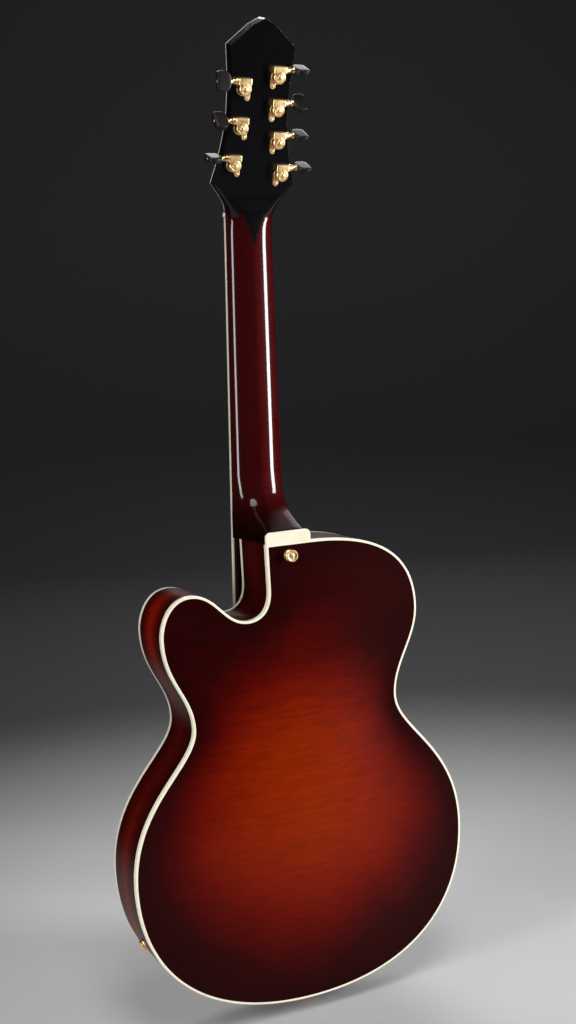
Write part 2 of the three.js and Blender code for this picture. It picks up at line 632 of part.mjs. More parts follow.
// Two fitted bars under the front, splayed towards the tail and following the arch's underside.
function addToneBars(group) {
  for (const [name, side] of [["tone_bar_bass", -1], ["tone_bar_treble", 1]]) {
    const bar = [];
    const steps = 10;
    for (let i = 0; i <= steps; i++) {
      const share = i / steps;
      const x = side * THREE.MathUtils.lerp(30, 46, 1 - share);
      const z = BASE + THREE.MathUtils.lerp(90, 410, share);
      const top = frontAt(x, z) + PLATE + 2;
      const foot = top + 6 + 8 * Math.sin(Math.PI * share);
      bar.push([vec(x - 3.5, top, z), vec(x + 3.5, top, z), vec(x + 3.5, foot, z), vec(x - 3.5, foot, z)]);
    }
    group.add(mesh(name, loft(bar), WOOD_INSIDE));
  }
}

function addHeelCap(group) {
  const cap = new THREE.Shape();
  const [left, right] = [-HEEL_HALF, CUTAWAY_WALL];
  const top = JOINT_Z + HEEL_LENGTH;
  cap.moveTo(left, JOINT_Z + GAP);
  cap.lineTo(right, JOINT_Z + GAP);
  cap.lineTo(right, top - 6);
  cap.quadraticCurveTo(right, top, right - 6, top);
  cap.lineTo(left + 6, top);
  cap.quadraticCurveTo(left, top, left, top - 6);
  group.add(mesh("heel_cap", slab(cap, HEEL_BACK - HEEL_CAP, HEEL_BACK, 4), IVORY));
}

// ---------------------------------------------------------------- buttons, jack and controls
const JACK_FACET = 6; // counted from the tail round the treble side
const HEEL_SCREW_Z = BASE + BODY_LENGTH - 14;
const HEEL_SCREW_HOLE = rod(vec(0, 10, HEEL_SCREW_Z), vec(0, 60, HEEL_SCREW_Z), 2.2 + GAP, 12);

function addStrapButtons(group) {
  const tailProfile = [
    [0, 0], [7.6, 0], [7.6, 1], [4, 5.1], [4, 8.1], [7.4, 11.4], [7.4, 12.6], [6.6, 13.6], [0, 13.6],
  ];
  const heelProfile = [
    [0, 0], [5.8, 0], [6.5, 0.8], [6.5, 1.8], [3.6, 3.4], [3.6, 5], [6.7, 8.2], [6.7, 9], [0, 9],
  ];
  const tail = union(
    turned(tailProfile, vec(0, 0, 0), vec(0, 0, 1)),
    rod(vec(0, 0, 13), vec(0, 0, BASE + 30), 2.4, 12),
  );
  group.add(mesh("tail_strap_button", tail, GOLD));
  const face = RIM_DEPTH / 2 + GAP;
  const heel = union(
    turned(heelProfile, vec(0, face, HEEL_SCREW_Z), vec(0, 1, 0)),
    rod(vec(0, face - 22, HEEL_SCREW_Z), vec(0, face + 2, HEEL_SCREW_Z), 2.1, 12),
  );
  group.add(mesh("heel_strap_button", heel, GOLD));
}

// The jack's frame: its axis is local Z, pointing out of the middle of one facet of the rim.
function jackFrame() {
  const [a, b] = [OUTLINE[JACK_FACET], OUTLINE[JACK_FACET + 1]];
  const at = a.clone().add(b).multiplyScalar(0.5);
  const along = b.clone().sub(a).normalize();
  const out = vec(along.y, 0, -along.x);
  const basis = new THREE.Matrix4().makeBasis(vec(0, 1, 0).cross(out), vec(0, 1, 0), out);
  return basis.setPosition(at.x, 0, at.y + BASE);
}

function addJack(group) {
  const jack = union(
    rod(vec(0, 0, -22), vec(0, 0, -RIM_WALL - 1), 8, 16),
    rod(vec(0, 0, -RIM_WALL - 2), vec(0, 0, 5), 4.8, 16),
    rod(vec(0, 0, 0.6), vec(0, 0, 1.8), 8.5, 24),
    rod(vec(0, 0, 1.8), vec(0, 0, 4.2), 7, 6),
  ).subtract(rod(vec(0, 0, -30), vec(0, 0, 10), 3.3, 16));
  group.add(mesh("output_jack", moved(jack, jackFrame()), GOLD));
}

const CONTROLS = [
  { name: "volume", x: 132, z: BASE + 190 },
  { name: "tone", x: 146, z: BASE + 142 },
];

function addControls(group) {
  for (const { name, x, z } of CONTROLS) {
    const surface = frontAt(x, z);
    const skirt = [[0, 0], [12, 0], [12, 1.5], [10, 11], [9.5, 14], [0, 14]];
    const knob = union(
      turned(skirt, vec(x, surface - 3.4, z), vec(0, -1, 0), 24),
      rod(vec(x, surface - 5, z), vec(x, surface + 12, z), 2.8, 12),
    );
    const pot = union(
      rod(vec(x, surface + 8.5, z), vec(x, surface + 18.5, z), 12, 20),
      rod(vec(x, surface - 2.2, z), vec(x, surface + 9, z), 4.5, 14),
    ).subtract(rod(vec(x, surface - 6, z), vec(x, surface + 13, z), 3.1, 14));
    group.add(mesh(`${name}_knob`, knob, EBONY));
    group.add(mesh(`${name}_pot`, pot, STEEL));
  }
}

// ---------------------------------------------------------------- bridge
const BRIDGE_Z = SADDLE.z;
const STUD_X = 41;
const WHEEL_RADIUS = 9;

function addBridge(group) {
  const crown = frontAt(0, BRIDGE_Z);
  const baseTop = crown - 7.5;
  const under = new THREE.Matrix4().makeTranslation(0, -GAP, 0);
  const filled = moved(plate(-1, TOP_ARCH, BINDING_WIDTH + GAP, TOP_ARCH * 2), under);
  const foot = new THREE.Shape();
  foot.moveTo(-74, baseTop + 4);
  foot.lineTo(-60, baseTop);
  foot.lineTo(60, baseTop);
  foot.lineTo(74, baseTop + 4);
  foot.lineTo(74, crown + 9);
  foot.lineTo(22, crown + 9);
  foot.lineTo(22, crown - 3);
  foot.lineTo(-22, crown - 3);
  foot.lineTo(-22, crown + 9);
  foot.lineTo(-74, crown + 9);
  const across = new THREE.ExtrudeGeometry(foot, { depth: 13, bevelEnabled: false });
  const base = solid(across.translate(0, 0, BRIDGE_Z - 6.5)).subtract(filled);
  const saddleTop = SADDLE.y + GAP;
  const stud = (x) => rod(vec(x, baseTop + 2, BRIDGE_Z), vec(x, saddleTop + 4.4, BRIDGE_Z), 2, 12);
  group.add(mesh("bridge_base", union(base, stud(STUD_X), stud(-STUD_X)), EBONY));

  const saddleBottom = saddleTop + 10;
  const bore = (x) => rod(vec(x, saddleTop + 1.8, BRIDGE_Z), vec(x, saddleBottom + 2, BRIDGE_Z), 2.3, 12);
  const top = new THREE.Shape();
  top.moveTo(-57, saddleBottom);
  top.lineTo(-57, saddleTop + 6);
  top.lineTo(-46, saddleTop);
  top.lineTo(46, saddleTop);
  top.lineTo(57, saddleTop + 6);
  top.lineTo(57, saddleBottom);
  const block = new THREE.ExtrudeGeometry(top, { depth: 8, bevelEnabled: false });
  const bar = solid(block.translate(0, 0, BRIDGE_Z - 4));
  const chamfer = (side) =>
    loft([-60, 60].map((x) => [
      vec(x, saddleTop, BRIDGE_Z), vec(x, saddleTop - 2, BRIDGE_Z),
      vec(x, saddleTop - 2, BRIDGE_Z + side * 5), vec(x, saddleTop + 1.6, BRIDGE_Z + side * 5),
    ]));
  const cuts = union(bore(STUD_X), bore(-STUD_X), chamfer(1), chamfer(-1));
  group.add(mesh("bridge_saddle", bar.subtract(cuts), EBONY));

  for (const [name, x] of [["thumbwheel_bass", -STUD_X], ["thumbwheel_treble", STUD_X]]) {
    const rest = saddleBottom + GAP;
    const wheel = rod(vec(x, rest, BRIDGE_Z), vec(x, rest + 2.6, BRIDGE_Z), WHEEL_RADIUS, 24);
    const hole = rod(vec(x, saddleBottom - 3, BRIDGE_Z), vec(x, saddleBottom + 8, BRIDGE_Z), 2.3, 12);
    group.add(mesh(name, wheel.subtract(hole), GOLD));
  }
}

// ---------------------------------------------------------------- tailpiece, pickup and guard
const TAILPIECE_FOOT = BASE + 34;
const TAILPIECE_FOOT_HALF = 17;
const TAILPIECE_TOP_HALF = 37;
const HANGER_HALF = 12; // half the width of the plate on the tail
const TONGUE_HALF = 10; // half the width of the tongue that the tailpiece hangs on

function addTailpiece(group) {
  const [foot, top] = [TAILPIECE_FOOT, TAILPIECE_TOP];
  const shape = new THREE.Shape();
  shape.moveTo(-TAILPIECE_FOOT_HALF, foot);
  shape.quadraticCurveTo(-21, foot + 60, -TAILPIECE_TOP_HALF, top);
  shape.lineTo(TAILPIECE_TOP_HALF, top);
  shape.quadraticCurveTo(21, foot + 60, TAILPIECE_FOOT_HALF, foot);
  const body = slab(shape, TAILPIECE_Y + 0.5, TAILPIECE_Y + 8.5, 6);
  const slotHalf = TONGUE_HALF + GAP;
  const slot = box([-slotHalf, TAILPIECE_Y - 2, foot - 2], [slotHalf, TAILPIECE_Y + 10, foot + 9 + GAP]);
  group.add(mesh("tailpiece", body.subtract(slot), EBONY));

  const footFace = BASE - GAP;
  const legFace = -RIM_DEPTH / 2 - GAP;
  const hanger = union(
    box([-HANGER_HALF, legFace - 1, footFace - 2], [HANGER_HALF, 12, footFace]),
    box([-HANGER_HALF, legFace - 2.2, footFace - 2], [HANGER_HALF, legFace, footFace + 10]),
    box([-TONGUE_HALF, TAILPIECE_Y + 3, footFace + 6], [TONGUE_HALF, legFace, footFace + 10]),
    box([-TONGUE_HALF, TAILPIECE_Y + 3, footFace + 6], [TONGUE_HALF, TAILPIECE_Y + 5.4, foot + 9]),
  ).subtract(rod(vec(0, 0, 0), vec(0, 0, BASE + 5), 2.5 + GAP, 12));
  group.add(mesh("tailpiece_hanger", hanger, GOLD));
}

const PICKUP_SIZE = [76, 11, 30];
const PICKUP_SETBACK = 20; // the cover's middle from the fretboard's end
const POLE_RADIUS = 2.1;

function addPickup(group) {
  const end = fromNeck(vec(0, 0, -BOARD_LENGTH));
  const z = end.z - PICKUP_SETBACK;
  const stringY = fromNeck(vec(0, -BOARD - 3.6, -BOARD_LENGTH - PICKUP_SETBACK)).y;
  const front = stringY + 4;
  const [wide, deep, tall] = PICKUP_SIZE;
  const cover = box([-wide / 2, front, z - tall / 2], [wide / 2, front + deep, z + tall / 2]);
  const poles = STRING_DIAMETERS.map((_, i) => {
    const x = stringX(i, STRING_SPAN_SADDLE * 0.93);
    return rod(vec(x, front - 0.8, z), vec(x, front + 2, z), POLE_RADIUS, 10);
  });
  const arm = box([-8, front + 8, z + 10], [8, front + 10, end.z + 3]);
  const lug = box([-8, front + 6, z + 10], [8, front + 10, end.z - GAP - 0.5]);
  const keepClear = moved(box([-60, -20, -BOARD_LENGTH - 0.5], [60, 7, 0]), neckGroup.matrixWorld);
  group.add(mesh("pickup", union(cover, ...poles, lug, arm).subtract(keepClear), GOLD));
}

const GUARD_PILLARS = [[76, BASE + 290], [62, BASE + 372]]; // the short posts that stand on the front
const GUARD_PILLAR_RADIUS = 3.2;
const GUARD_Y = -61;
const GUARD_THICKNESS = 2.5;
const GUARD_INNER = 40.5; // its straight edge beside the strings
const GUARD_LOW = BASE + 262;
const GUARD_HIGH = BASE + 428;

function addPickguard(group) {
  const shape = new THREE.Shape();
  shape.moveTo(GUARD_INNER, GUARD_LOW);
  shape.lineTo(84, GUARD_LOW);
  shape.quadraticCurveTo(92, BASE + 300, 84, BASE + 340);
  shape.quadraticCurveTo(70, BASE + 385, 46, GUARD_HIGH);
  shape.lineTo(GUARD_INNER, GUARD_HIGH);
  const guard = slab(shape, GUARD_Y, GUARD_Y + GUARD_THICKNESS, 6);
  const pillars = GUARD_PILLARS.map(([x, z]) => {
    const foot = vec(x, frontAt(x, z) - GAP, z);
    return rod(vec(x, GUARD_Y + 1, z), foot, GUARD_PILLAR_RADIUS, 16);
  });
  group.add(mesh("pickguard", union(guard, ...pillars), EBONY));
}

// ---------------------------------------------------------------- the whole guitar
const guitar = new THREE.Group();
addBody(guitar);
addStrapButtons(guitar);
addJack(guitar);
addControls(guitar);
addBridge(guitar);
addTailpiece(guitar);
addPickup(guitar);
addPickguard(guitar);
addStrings(guitar);
addNeckAndHead();
addTrussRod();
addFretboard();
guitar.add(neckGroup);

export default guitar;
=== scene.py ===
"""The looks of a seven-string archtop guitar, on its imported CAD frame.

Shapes are drawn in millimetres in the CAD frame and built in metres: +Z runs up the neck, -Y is the
front, +X the treble side, and the origin is the middle of the tail button's outer face.
"""

import math

import bmesh
import bpy
import numpy as np
from mathutils import Matrix, Vector


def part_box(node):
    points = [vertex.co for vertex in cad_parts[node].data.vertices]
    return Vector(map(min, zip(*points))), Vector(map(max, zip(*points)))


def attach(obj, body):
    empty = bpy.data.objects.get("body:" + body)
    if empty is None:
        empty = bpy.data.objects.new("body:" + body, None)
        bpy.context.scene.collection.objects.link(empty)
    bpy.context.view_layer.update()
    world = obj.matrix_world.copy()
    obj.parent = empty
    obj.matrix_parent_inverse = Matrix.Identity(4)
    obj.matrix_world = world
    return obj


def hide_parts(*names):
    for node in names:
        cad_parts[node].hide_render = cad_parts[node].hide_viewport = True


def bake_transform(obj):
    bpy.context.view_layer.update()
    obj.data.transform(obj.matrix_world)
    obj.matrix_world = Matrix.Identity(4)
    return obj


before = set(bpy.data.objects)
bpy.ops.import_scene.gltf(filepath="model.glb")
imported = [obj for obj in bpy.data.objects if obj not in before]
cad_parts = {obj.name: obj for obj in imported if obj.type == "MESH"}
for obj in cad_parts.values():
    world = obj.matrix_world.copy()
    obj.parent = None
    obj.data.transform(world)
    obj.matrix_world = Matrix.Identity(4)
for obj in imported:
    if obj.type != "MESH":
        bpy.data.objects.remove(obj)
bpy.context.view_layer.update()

# ---------------------------------------------------------------- driving dimensions, in millimetres
MM = 0.001
FORWARDS = (0, -1, 0)
BACKWARDS = (0, 1, 0)

BASE = 16.5  # tail of the rim above the origin
BODY_LENGTH = 526
LOWER_BOUT = 406
WAIST = 250
UPPER_BOUT = 314
HALF_DEPTH = 37.5
PLATE = 5
TOP_ARCH = 17
BACK_ARCH = 16
PLATE_CENTRE = 270
ARCH_POWER = 2.3
BINDING_WIDTH = 2.7
BINDING_DEPTH = 6
PURFLING_EDGE = 4.1
CUTAWAY_WALL = 27
HEEL_HALF = 27.5
HEEL_LENGTH = 13
HEEL_BUTTON_Z = BASE + BODY_LENGTH - 14
CONTROLS = [(132, BASE + 190), (146, BASE + 142)]  # across and up: volume, tone

SCALE = 647.7
FRETS = 22
BODY_FRET = 14
MARKED_FRETS = (3, 5, 7, 9, 12, 15, 17, 19, 21)
NECK_PITCH = math.radians(4.2)
HEAD_PITCH = math.radians(13.5)
HEAD_BEND = 12  # half the length over which the neck turns into the head
NUT_Y = -20
NUT_WIDTH = 54
BOARD_END_WIDTH = 65
BOARD = 6
BOARD_CAMBER = 0.9
HEAD_CORE = 13
OVERLAY = 2.5
SHOULDER = 37  # height of the head's widest place
HEAD_LENGTH = 210
POST_RADIUS = 3
WORM_RISE = 7.5
WORM_OUT = 4.8
TUNERS = [  # across the head, up the head, side, the angle its button is turned to
    (-28.9, 49, -1, 78),
    (-22.5, 83.5, -1, 75),
    (-19.1, 117.5, -1, 50),
    (-17.9, 151.5, -1, 80),
    (20.9, 138.8, 1, 10),
    (21.8, 98.3, 1, 50),
    (27.5, 59.2, 1, 85),
]

STRINGS = [1.9, 1.37, 1.07, 0.81, 0.61, 0.43, 0.33]  # diameters, bass to treble
WOUND = 5  # how many of them are wound
NUT_SPREAD = 45
SADDLE_SPREAD = 61
PICKUP_SPREAD = SADDLE_SPREAD * 0.93
TAILPIECE_SPREAD = SADDLE_SPREAD * 0.86
ANCHOR_Y = -64
BRIDGE_Z = 255.541
BRIDGE_HALF = 74
STUD_X = 41
SADDLE_HALF = 57
SADDLE_TOP = -77.808
TAILPIECE_TOP = 168.5
TAILPIECE_FOOT = BASE + 34
GUARD_FACE, GUARD_PLY, GUARD_BACK = -61, -59.3, -58.6
GUARD_POSTS = [(76, BASE + 290), (62, BASE + 372)]
JACK_WAY = (0.896212, 0, -0.443627)
JACK_SPOT = (185.47, 0, 109.65)


def fret_at(n):
    return SCALE * (1 - 2 ** (-n / 12))


BOARD_LENGTH = fret_at(FRETS) + 7
NUT_Z = BASE + BODY_LENGTH + fret_at(BODY_FRET) * math.cos(NECK_PITCH)
NECK = Matrix.Translation((0, NUT_Y, NUT_Z)) @ Matrix.Rotation(-NECK_PITCH, 4, "X")
HEAD = NECK @ Matrix.Rotation(-HEAD_PITCH, 4, "X")


def board_half(z):
    return NUT_WIDTH / 2 + (BOARD_END_WIDTH - NUT_WIDTH) / 2 * (-z / BOARD_LENGTH)


def neck_point(x, y, z):
    return NECK @ Vector((x, y, z))


def head_point(x, y, z):
    return HEAD @ Vector((x, y, z))


# ---------------------------------------------------------------- shader helpers
class Shader:
    """A material with one Principled surface, and short calls for the nodes used here."""

    def __init__(self, name):
        self.material = bpy.data.materials.new(name)
        self.material.use_nodes = True
        self.nodes = self.material.node_tree.nodes
        self.links = self.material.node_tree.links
        self.surface = self.nodes["Principled BSDF"]

    def feed(self, socket, value):
        if isinstance(value, bpy.types.NodeSocket):
            self.links.new(value, socket)
        else:
            socket.default_value = value

    def set(self, **values):
        for name, value in values.items():
            self.feed(self.surface.inputs[name.replace("_", " ")], value)

    def add(self, kind, inputs, output=0, **settings):
        """A node with its settings and inputs. Gives back one of its outputs."""
        node = self.nodes.new("ShaderNode" + kind)
        for name, value in settings.items():
            setattr(node, name, value)
        for name, value in inputs.items():
            self.feed(node.inputs[name], value)
        return node.outputs[output]

    def position(self):
        return self.add("TexCoord", {}, "Object")

    def attribute(self, name):
        return self.add("Attribute", {}, "Fac", attribute_name=name)

    def split(self, vector):
        node = self.nodes.new("ShaderNodeSeparateXYZ")
        self.feed(node.inputs[0], vector)
        return node.outputs

    def join(self, x, y, z):
        return self.add("CombineXYZ", {0: x, 1: y, 2: z})

    def math(self, operation, a, b=0.0):
        return self.add("Math", {0: a, 1: b}, operation=operation)

    def times(self, a, b):
        return self.math("MULTIPLY", a, b)

    def plus(self, a, b):
        return self.math("ADD", a, b)

    def noise(self, vector, scale, detail, rough=0.5, distortion=0.0):
        inputs = {"Vector": vector, "Scale": scale, "Detail": detail}
        inputs.update({"Roughness": rough, "Distortion": distortion})
        return self.add("TexNoise", inputs, "Fac")

    def grain(self, vector, scale, detail, rough=0.5, distortion=0.0):
        """Noise that is scaled by a different amount each way."""
        stretched = self.add("Mapping", {"Vector": vector, "Scale": scale})
        return self.noise(stretched, 1.0, detail, rough, distortion)

    def ramp(self, factor, stops, smooth=True):
        """A colour that follows factor; stops are (place, colour)."""
        node = self.nodes.new("ShaderNodeValToRGB")
        node.color_ramp.interpolation = "EASE" if smooth else "LINEAR"
        elements = node.color_ramp.elements
        while len(elements) < len(stops):
            elements.new(0.5)
        for element, (place, colour) in zip(elements, stops):
            element.position = place
            element.color = (*colour, 1)
        self.feed(node.inputs[0], factor)
        return node.outputs[0]

    def range(self, value, low, high, to_low=0.0, to_high=1.0, smooth=False):
        inputs = {"Value": value, "From Min": low, "From Max": high, "To Min": to_low, "To Max": to_high}
        return self.add("MapRange", inputs, interpolation_type="SMOOTHSTEP" if smooth else "LINEAR")

    def spread(self, noise, low=0.0, high=1.0):
        """The usual reach of a noise, carried to low and high."""
        return self.range(noise, 0.3, 0.7, low, high)

    def mix(self, factor, a, b, blend="MIX"):
        """Mixes a colour that is a socket with another, a socket or three numbers."""
        second = b if isinstance(b, bpy.types.NodeSocket) else (*b, 1)
        return self.add("Mix", {0: factor, 6: a, 7: second}, 2, data_type="RGBA", blend_type=blend)

    def bump(self, height, distance, strength):
        return self.add("Bump", {"Distance": distance, "Strength": strength, "Height": height})


# ---------------------------------------------------------------- materials
BACK_BURST = [  # from the plate's edge to the middle of its arch
    (0.0, (0.014, 0.0003, 0.0004)),
    (0.09, (0.022, 0.0004, 0.0005)),
    (0.20, (0.050, 0.0010, 0.0005)),
    (0.36, (0.098, 0.0028, 0.0005)),
    (0.58, (0.155, 0.0075, 0.0004)),
    (0.80, (0.190, 0.0115, 0.0003)),
    (1.0, (0.21, 0.0150, 0.0003)),
]
TOP_BURST = [
    (0.0, (0.006, 0.0010, 0.0006)),
    (0.12, (0.035, 0.0032, 0.0012)),
    (0.3, (0.15, 0.016, 0.002)),
    (0.5, (0.40, 0.072, 0.006)),
    (0.75, (0.62, 0.20, 0.028)),
    (1.0, (0.72, 0.30, 0.060)),
]
RIM_REDS = [(0.0, (0.014, 0.0007, 0.0005)), (0.5, (0.050, 0.0022, 0.0007)), (1.0, (0.165, 0.0055, 0.0006))]
NECK_REDS = [(0.0, (0.042, 0.0009, 0.0013)), (1.0, (0.008, 0.0004, 0.0004))]
HEAD_BLACK = (0.0025, 0.0024, 0.003)
WINDING = 0.00045  # spacing of a wound string's turns, in metres


def lacquer(shader, colour, roughness, gloss=1.0):
    """Polished lacquer over whatever lies under it: a clear coat with faint polishing marks."""
    place = shader.position()
    marks = shader.noise(place, 420, 4, 0.6)
    peel = shader.noise(place, 160, 2, 0.5)
    shader.set(Base_Color=colour, Roughness=shader.spread(marks, roughness - 0.05, roughness + 0.05))
    shader.set(Coat_Weight=gloss, Coat_Roughness=0.035, Coat_IOR=1.45, Specular_IOR_Level=0.03)
    shader.set(Coat_Normal=shader.bump(peel, 0.00003, 0.35))
    return shader.material


def flame(shader, across, along, strength):
    """Flamed maple's figure: bands that run across the board, wandering, with fine silk between."""
    coords = shader.join(across, 0.0, along)
    bands = shader.grain(coords, (34, 1, 210), 2, 0.55, 0.7)
    silk = shader.grain(coords, (50, 1, 330), 3, 0.6, 0.4)
    pores = shader.grain(coords, (900, 1, 60), 2, 0.5)
    figure = shader.plus(shader.times(shader.spread(bands), 0.6), shader.times(silk, 0.28))
    figure = shader.plus(figure, shader.times(pores, 0.12))
    return shader.range(figure, 0.15, 0.85, 1 - strength, 1 + strength)


def spruce(shader, across, along, strength):
    """Straight spruce grain: narrow dark lines along the board, with silk across them."""
    coords = shader.join(across, 0.0, along)
    lines = shader.grain(coords, (640, 1, 3.5), 2, 0.6)
    silk = shader.grain(coords, (60, 1, 240), 2, 0.5)
    mixed = shader.plus(shader.times(lines, 0.8), shader.times(silk, 0.2))
    return shader.range(mixed, 0.28, 0.72, 1 - strength, 1 + strength)


def tinted(shader, colour, factor):
    """The colour made darker and lighter by a factor round 1."""
    return shader.mix(1.0, colour, shader.join(factor, factor, factor), "MULTIPLY")


def bookmatched(shader):
    """Across and along a two-piece plate whose halves mirror each other."""
    x, _, z = shader.split(shader.position())
    return shader.math("ABSOLUTE", x), z


def back_wood():
    shader = Shader("back_lacquer")
    across, along = bookmatched(shader)
    cloud = shader.noise(shader.position(), 9, 3, 0.5)
    shaded = shader.times(shader.attribute("burst"), shader.range(along, 0.325, 0.415, 1.0, 0.42))
    shaded = shader.times(shaded, shader.range(along, 0.06, 0.25, 0.36, 1.0, True))
    shaded = shader.times(shaded, shader.range(across, -0.13, 0.19, 1.38, 0.62))
    colour = shader.ramp(shader.plus(shaded, shader.spread(cloud, -0.05, 0.05)), BACK_BURST, False)
    return lacquer(shader, tinted(shader, colour, flame(shader, across, along, 0.2)), 0.36, 0.12)


def top_wood():
    shader = Shader("top_lacquer")
    across, along = bookmatched(shader)
    cloud = shader.noise(shader.position(), 8, 3, 0.5)
    burst = shader.plus(shader.attribute("burst"), shader.spread(cloud, -0.03, 0.03))
    colour = shader.ramp(burst, TOP_BURST, False)
    return lacquer(shader, tinted(shader, colour, spruce(shader, across, along, 0.22)), 0.36)


def rim_wood():
    """Dark red sides whose figure runs across them, a little brighter along their middle, and brighter still
    where light is painted on at the treble horn and the lower bouts.
    """
    shader = Shader("rim_lacquer")
    _, y, _ = shader.split(shader.position())
    middle = shader.range(shader.math("ABSOLUTE", y), 0.004, 0.033, 1.0, 0.0)
    # painted light: the red brightens where light is painted on the rim
    band_and_painted_light = shader.times(middle, shader.range(shader.attribute("glow"), 0.0, 1.0, 0.45, 1.0))
    colour = shader.ramp(band_and_painted_light, RIM_REDS, False)
    figure = flame(shader, y, shader.attribute("around"), 0.2)
    return lacquer(shader, tinted(shader, colour, figure), 0.34, 0.15)


def neck_wood():
    """Burgundy maple in two halves, darker at the heel, that turns black in a point at the head."""
    shader = Shader("neck_lacquer")
    x, _, z = shader.split(shader.position())
    offset = shader.math("ABSOLUTE", x)
    point = shader.math("SUBTRACT", z, shader.times(offset, 2.6))
    shoulders = shader.math("SUBTRACT", z, shader.times(offset, 0.4))
    head = shader.math("MAXIMUM", shader.range(point, 0.862, 0.874), shader.range(shoulders, 0.889, 0.898))
    colour = shader.ramp(shader.range(z, 0.605, 0.550), NECK_REDS, False)
    half = shader.range(x, -0.0015, 0.0025, 1.30, 0.68)
    red = tinted(shader, colour, shader.times(flame(shader, x, z, 0.14), half))
    gloss = shader.range(z, 0.572, 0.600, 0.12, 1.0)
    return lacquer(shader, shader.mix(head, red, HEAD_BLACK), 0.3, gloss)


def black_lacquer():
    shader = Shader("black_lacquer")
    cloud = shader.noise(shader.position(), 30, 3)
    colour = shader.ramp(cloud, [(0.3, (0.0022, 0.0021, 0.0026)), (0.7, (0.0042, 0.0040, 0.0046))])
    return lacquer(shader, colour, 0.3)


def bare_wood():
    """The unfinished inside: pale maple and spruce with its grain, and a little dust."""
    shader = Shader("bare_wood")
    x, y, z = shader.split(shader.position())
    grain = spruce(shader, shader.plus(x, y), z, 0.2)
    cloud = shader.noise(shader.position(), 26, 4, 0.6)
    colour = shader.ramp(cloud, [(0.3, (0.46, 0.30, 0.15)), (0.7, (0.60, 0.42, 0.23))])
    shader.set(Base_Color=tinted(shader, colour, grain), Roughness=shader.spread(cloud, 0.62, 0.8))
    shader.set(Normal=shader.bump(grain, 0.00015, 0.5))
    return shader.material


def ivory():
    """Cream celluloid with the faint streaks that run along it."""
    shader = Shader("ivory_celluloid")
    place = shader.position()
    cloud = shader.noise(place, 22, 3, 0.5)
    streak = shader.grain(place, (40, 700, 40), 3, 0.6, 0.3)
    tone = shader.plus(shader.times(cloud, 0.5), shader.times(streak, 0.5))
    creams = [(0.3, (0.86, 0.77, 0.57)), (0.52, (0.92, 0.85, 0.68)), (0.75, (0.95, 0.90, 0.75))]
    shader.set(Base_Color=shader.ramp(tone, creams), Roughness=shader.spread(cloud, 0.22, 0.34))
    shader.set(Coat_Weight=0.6, Coat_Roughness=0.06, Subsurface_Weight=0.08, Subsurface_Scale=0.002)
    shader.set(Normal=shader.bump(streak, 0.00003, 0.4))
    return shader.material


def ebony():
    """Nearly black wood with brown streaks and open pores along the grain."""
    shader = Shader("ebony")
    place = shader.position()
    streak = shader.grain(place, (60, 60, 5), 4, 0.6, 0.5)
    pores = shader.grain(place, (1500, 1500, 70), 2, 0.5)
    browns = [(0.35, (0.008, 0.006, 0.005)), (0.6, (0.020, 0.013, 0.009)), (0.8, (0.042, 0.024, 0.014))]
    shader.set(Base_Color=shader.ramp(streak, browns), Roughness=shader.range(pores, 0.35, 0.65, 0.30, 0.48))
    shader.set(Normal=shader.bump(pores, 0.00008, 0.6))
    return shader.material


def plastic(name, dark, light, roughness, gloss=0.3):
    """Polished moulded plastic with fine scratches."""
    shader = Shader(name)
    place = shader.position()
    cloud = shader.noise(place, 60, 3)
    scratch = shader.grain(place, (1800, 1800, 200), 3, 0.6)
    shader.set(Base_Color=shader.ramp(cloud, [(0.3, dark), (0.7, light)]))
    shader.set(Roughness=shader.spread(scratch, roughness - 0.05, roughness + 0.08), Specular_IOR_Level=0.2)
    shader.set(Coat_Weight=gloss, Coat_Roughness=0.12, Normal=shader.bump(scratch, 0.00002, 0.3))
    return shader.material


def metal(name, dark, light, roughness):
    """Plated or drawn metal: colour and gloss wander with handling, and fine marks run one way."""
    shader = Shader(name)
    place = shader.position()
    cloud = shader.noise(place, 130, 4, 0.6)
    marks = shader.grain(place, (900, 900, 90), 3, 0.6)
    tone = shader.plus(shader.times(cloud, 0.6), shader.times(marks, 0.4))
    shader.set(Base_Color=shader.ramp(cloud, [(0.3, dark), (0.65, light)]), Metallic=1.0)
    shader.set(Roughness=shader.spread(tone, roughness - 0.06, roughness + 0.1))
    shader.set(Normal=shader.bump(marks, 0.00001, 0.08))
    return shader.material


def pearl():
    """Shell inlay: pale patches that turn from cream to grey-green."""
    shader = Shader("pearl")
    layers = shader.grain(shader.position(), (120, 120, 60), 4, 0.6, 1.6)
    shells = [(0.3, (0.50, 0.52, 0.46)), (0.5, (0.80, 0.78, 0.70)), (0.7, (0.62, 0.66, 0.64))]
    shader.set(Base_Color=shader.ramp(layers, shells), Roughness=shader.spread(layers, 0.12, 0.3))
    shader.set(Coat_Weight=0.8, Coat_Roughness=0.04, Sheen_Weight=0.2)
    return shader.material


def wound_string():
    """Bronze wire wound tightly round a core: fine ribs along the string."""
    shader = Shader("wound_bronze")
    _, _, z = shader.split(shader.position())
    ribs = shader.math("SINE", shader.times(z, 2 * math.pi / WINDING))
    tone = shader.noise(shader.position(), 300, 3)
    colour = shader.ramp(tone, [(0.3, (0.46, 0.27, 0.12)), (0.7, (0.66, 0.44, 0.22))])
    shader.set(Base_Color=colour, Metallic=1.0, Roughness=shader.spread(tone, 0.26, 0.4))
    shader.set(Normal=shader.bump(ribs, 0.00006, 0.8))
    return shader.material


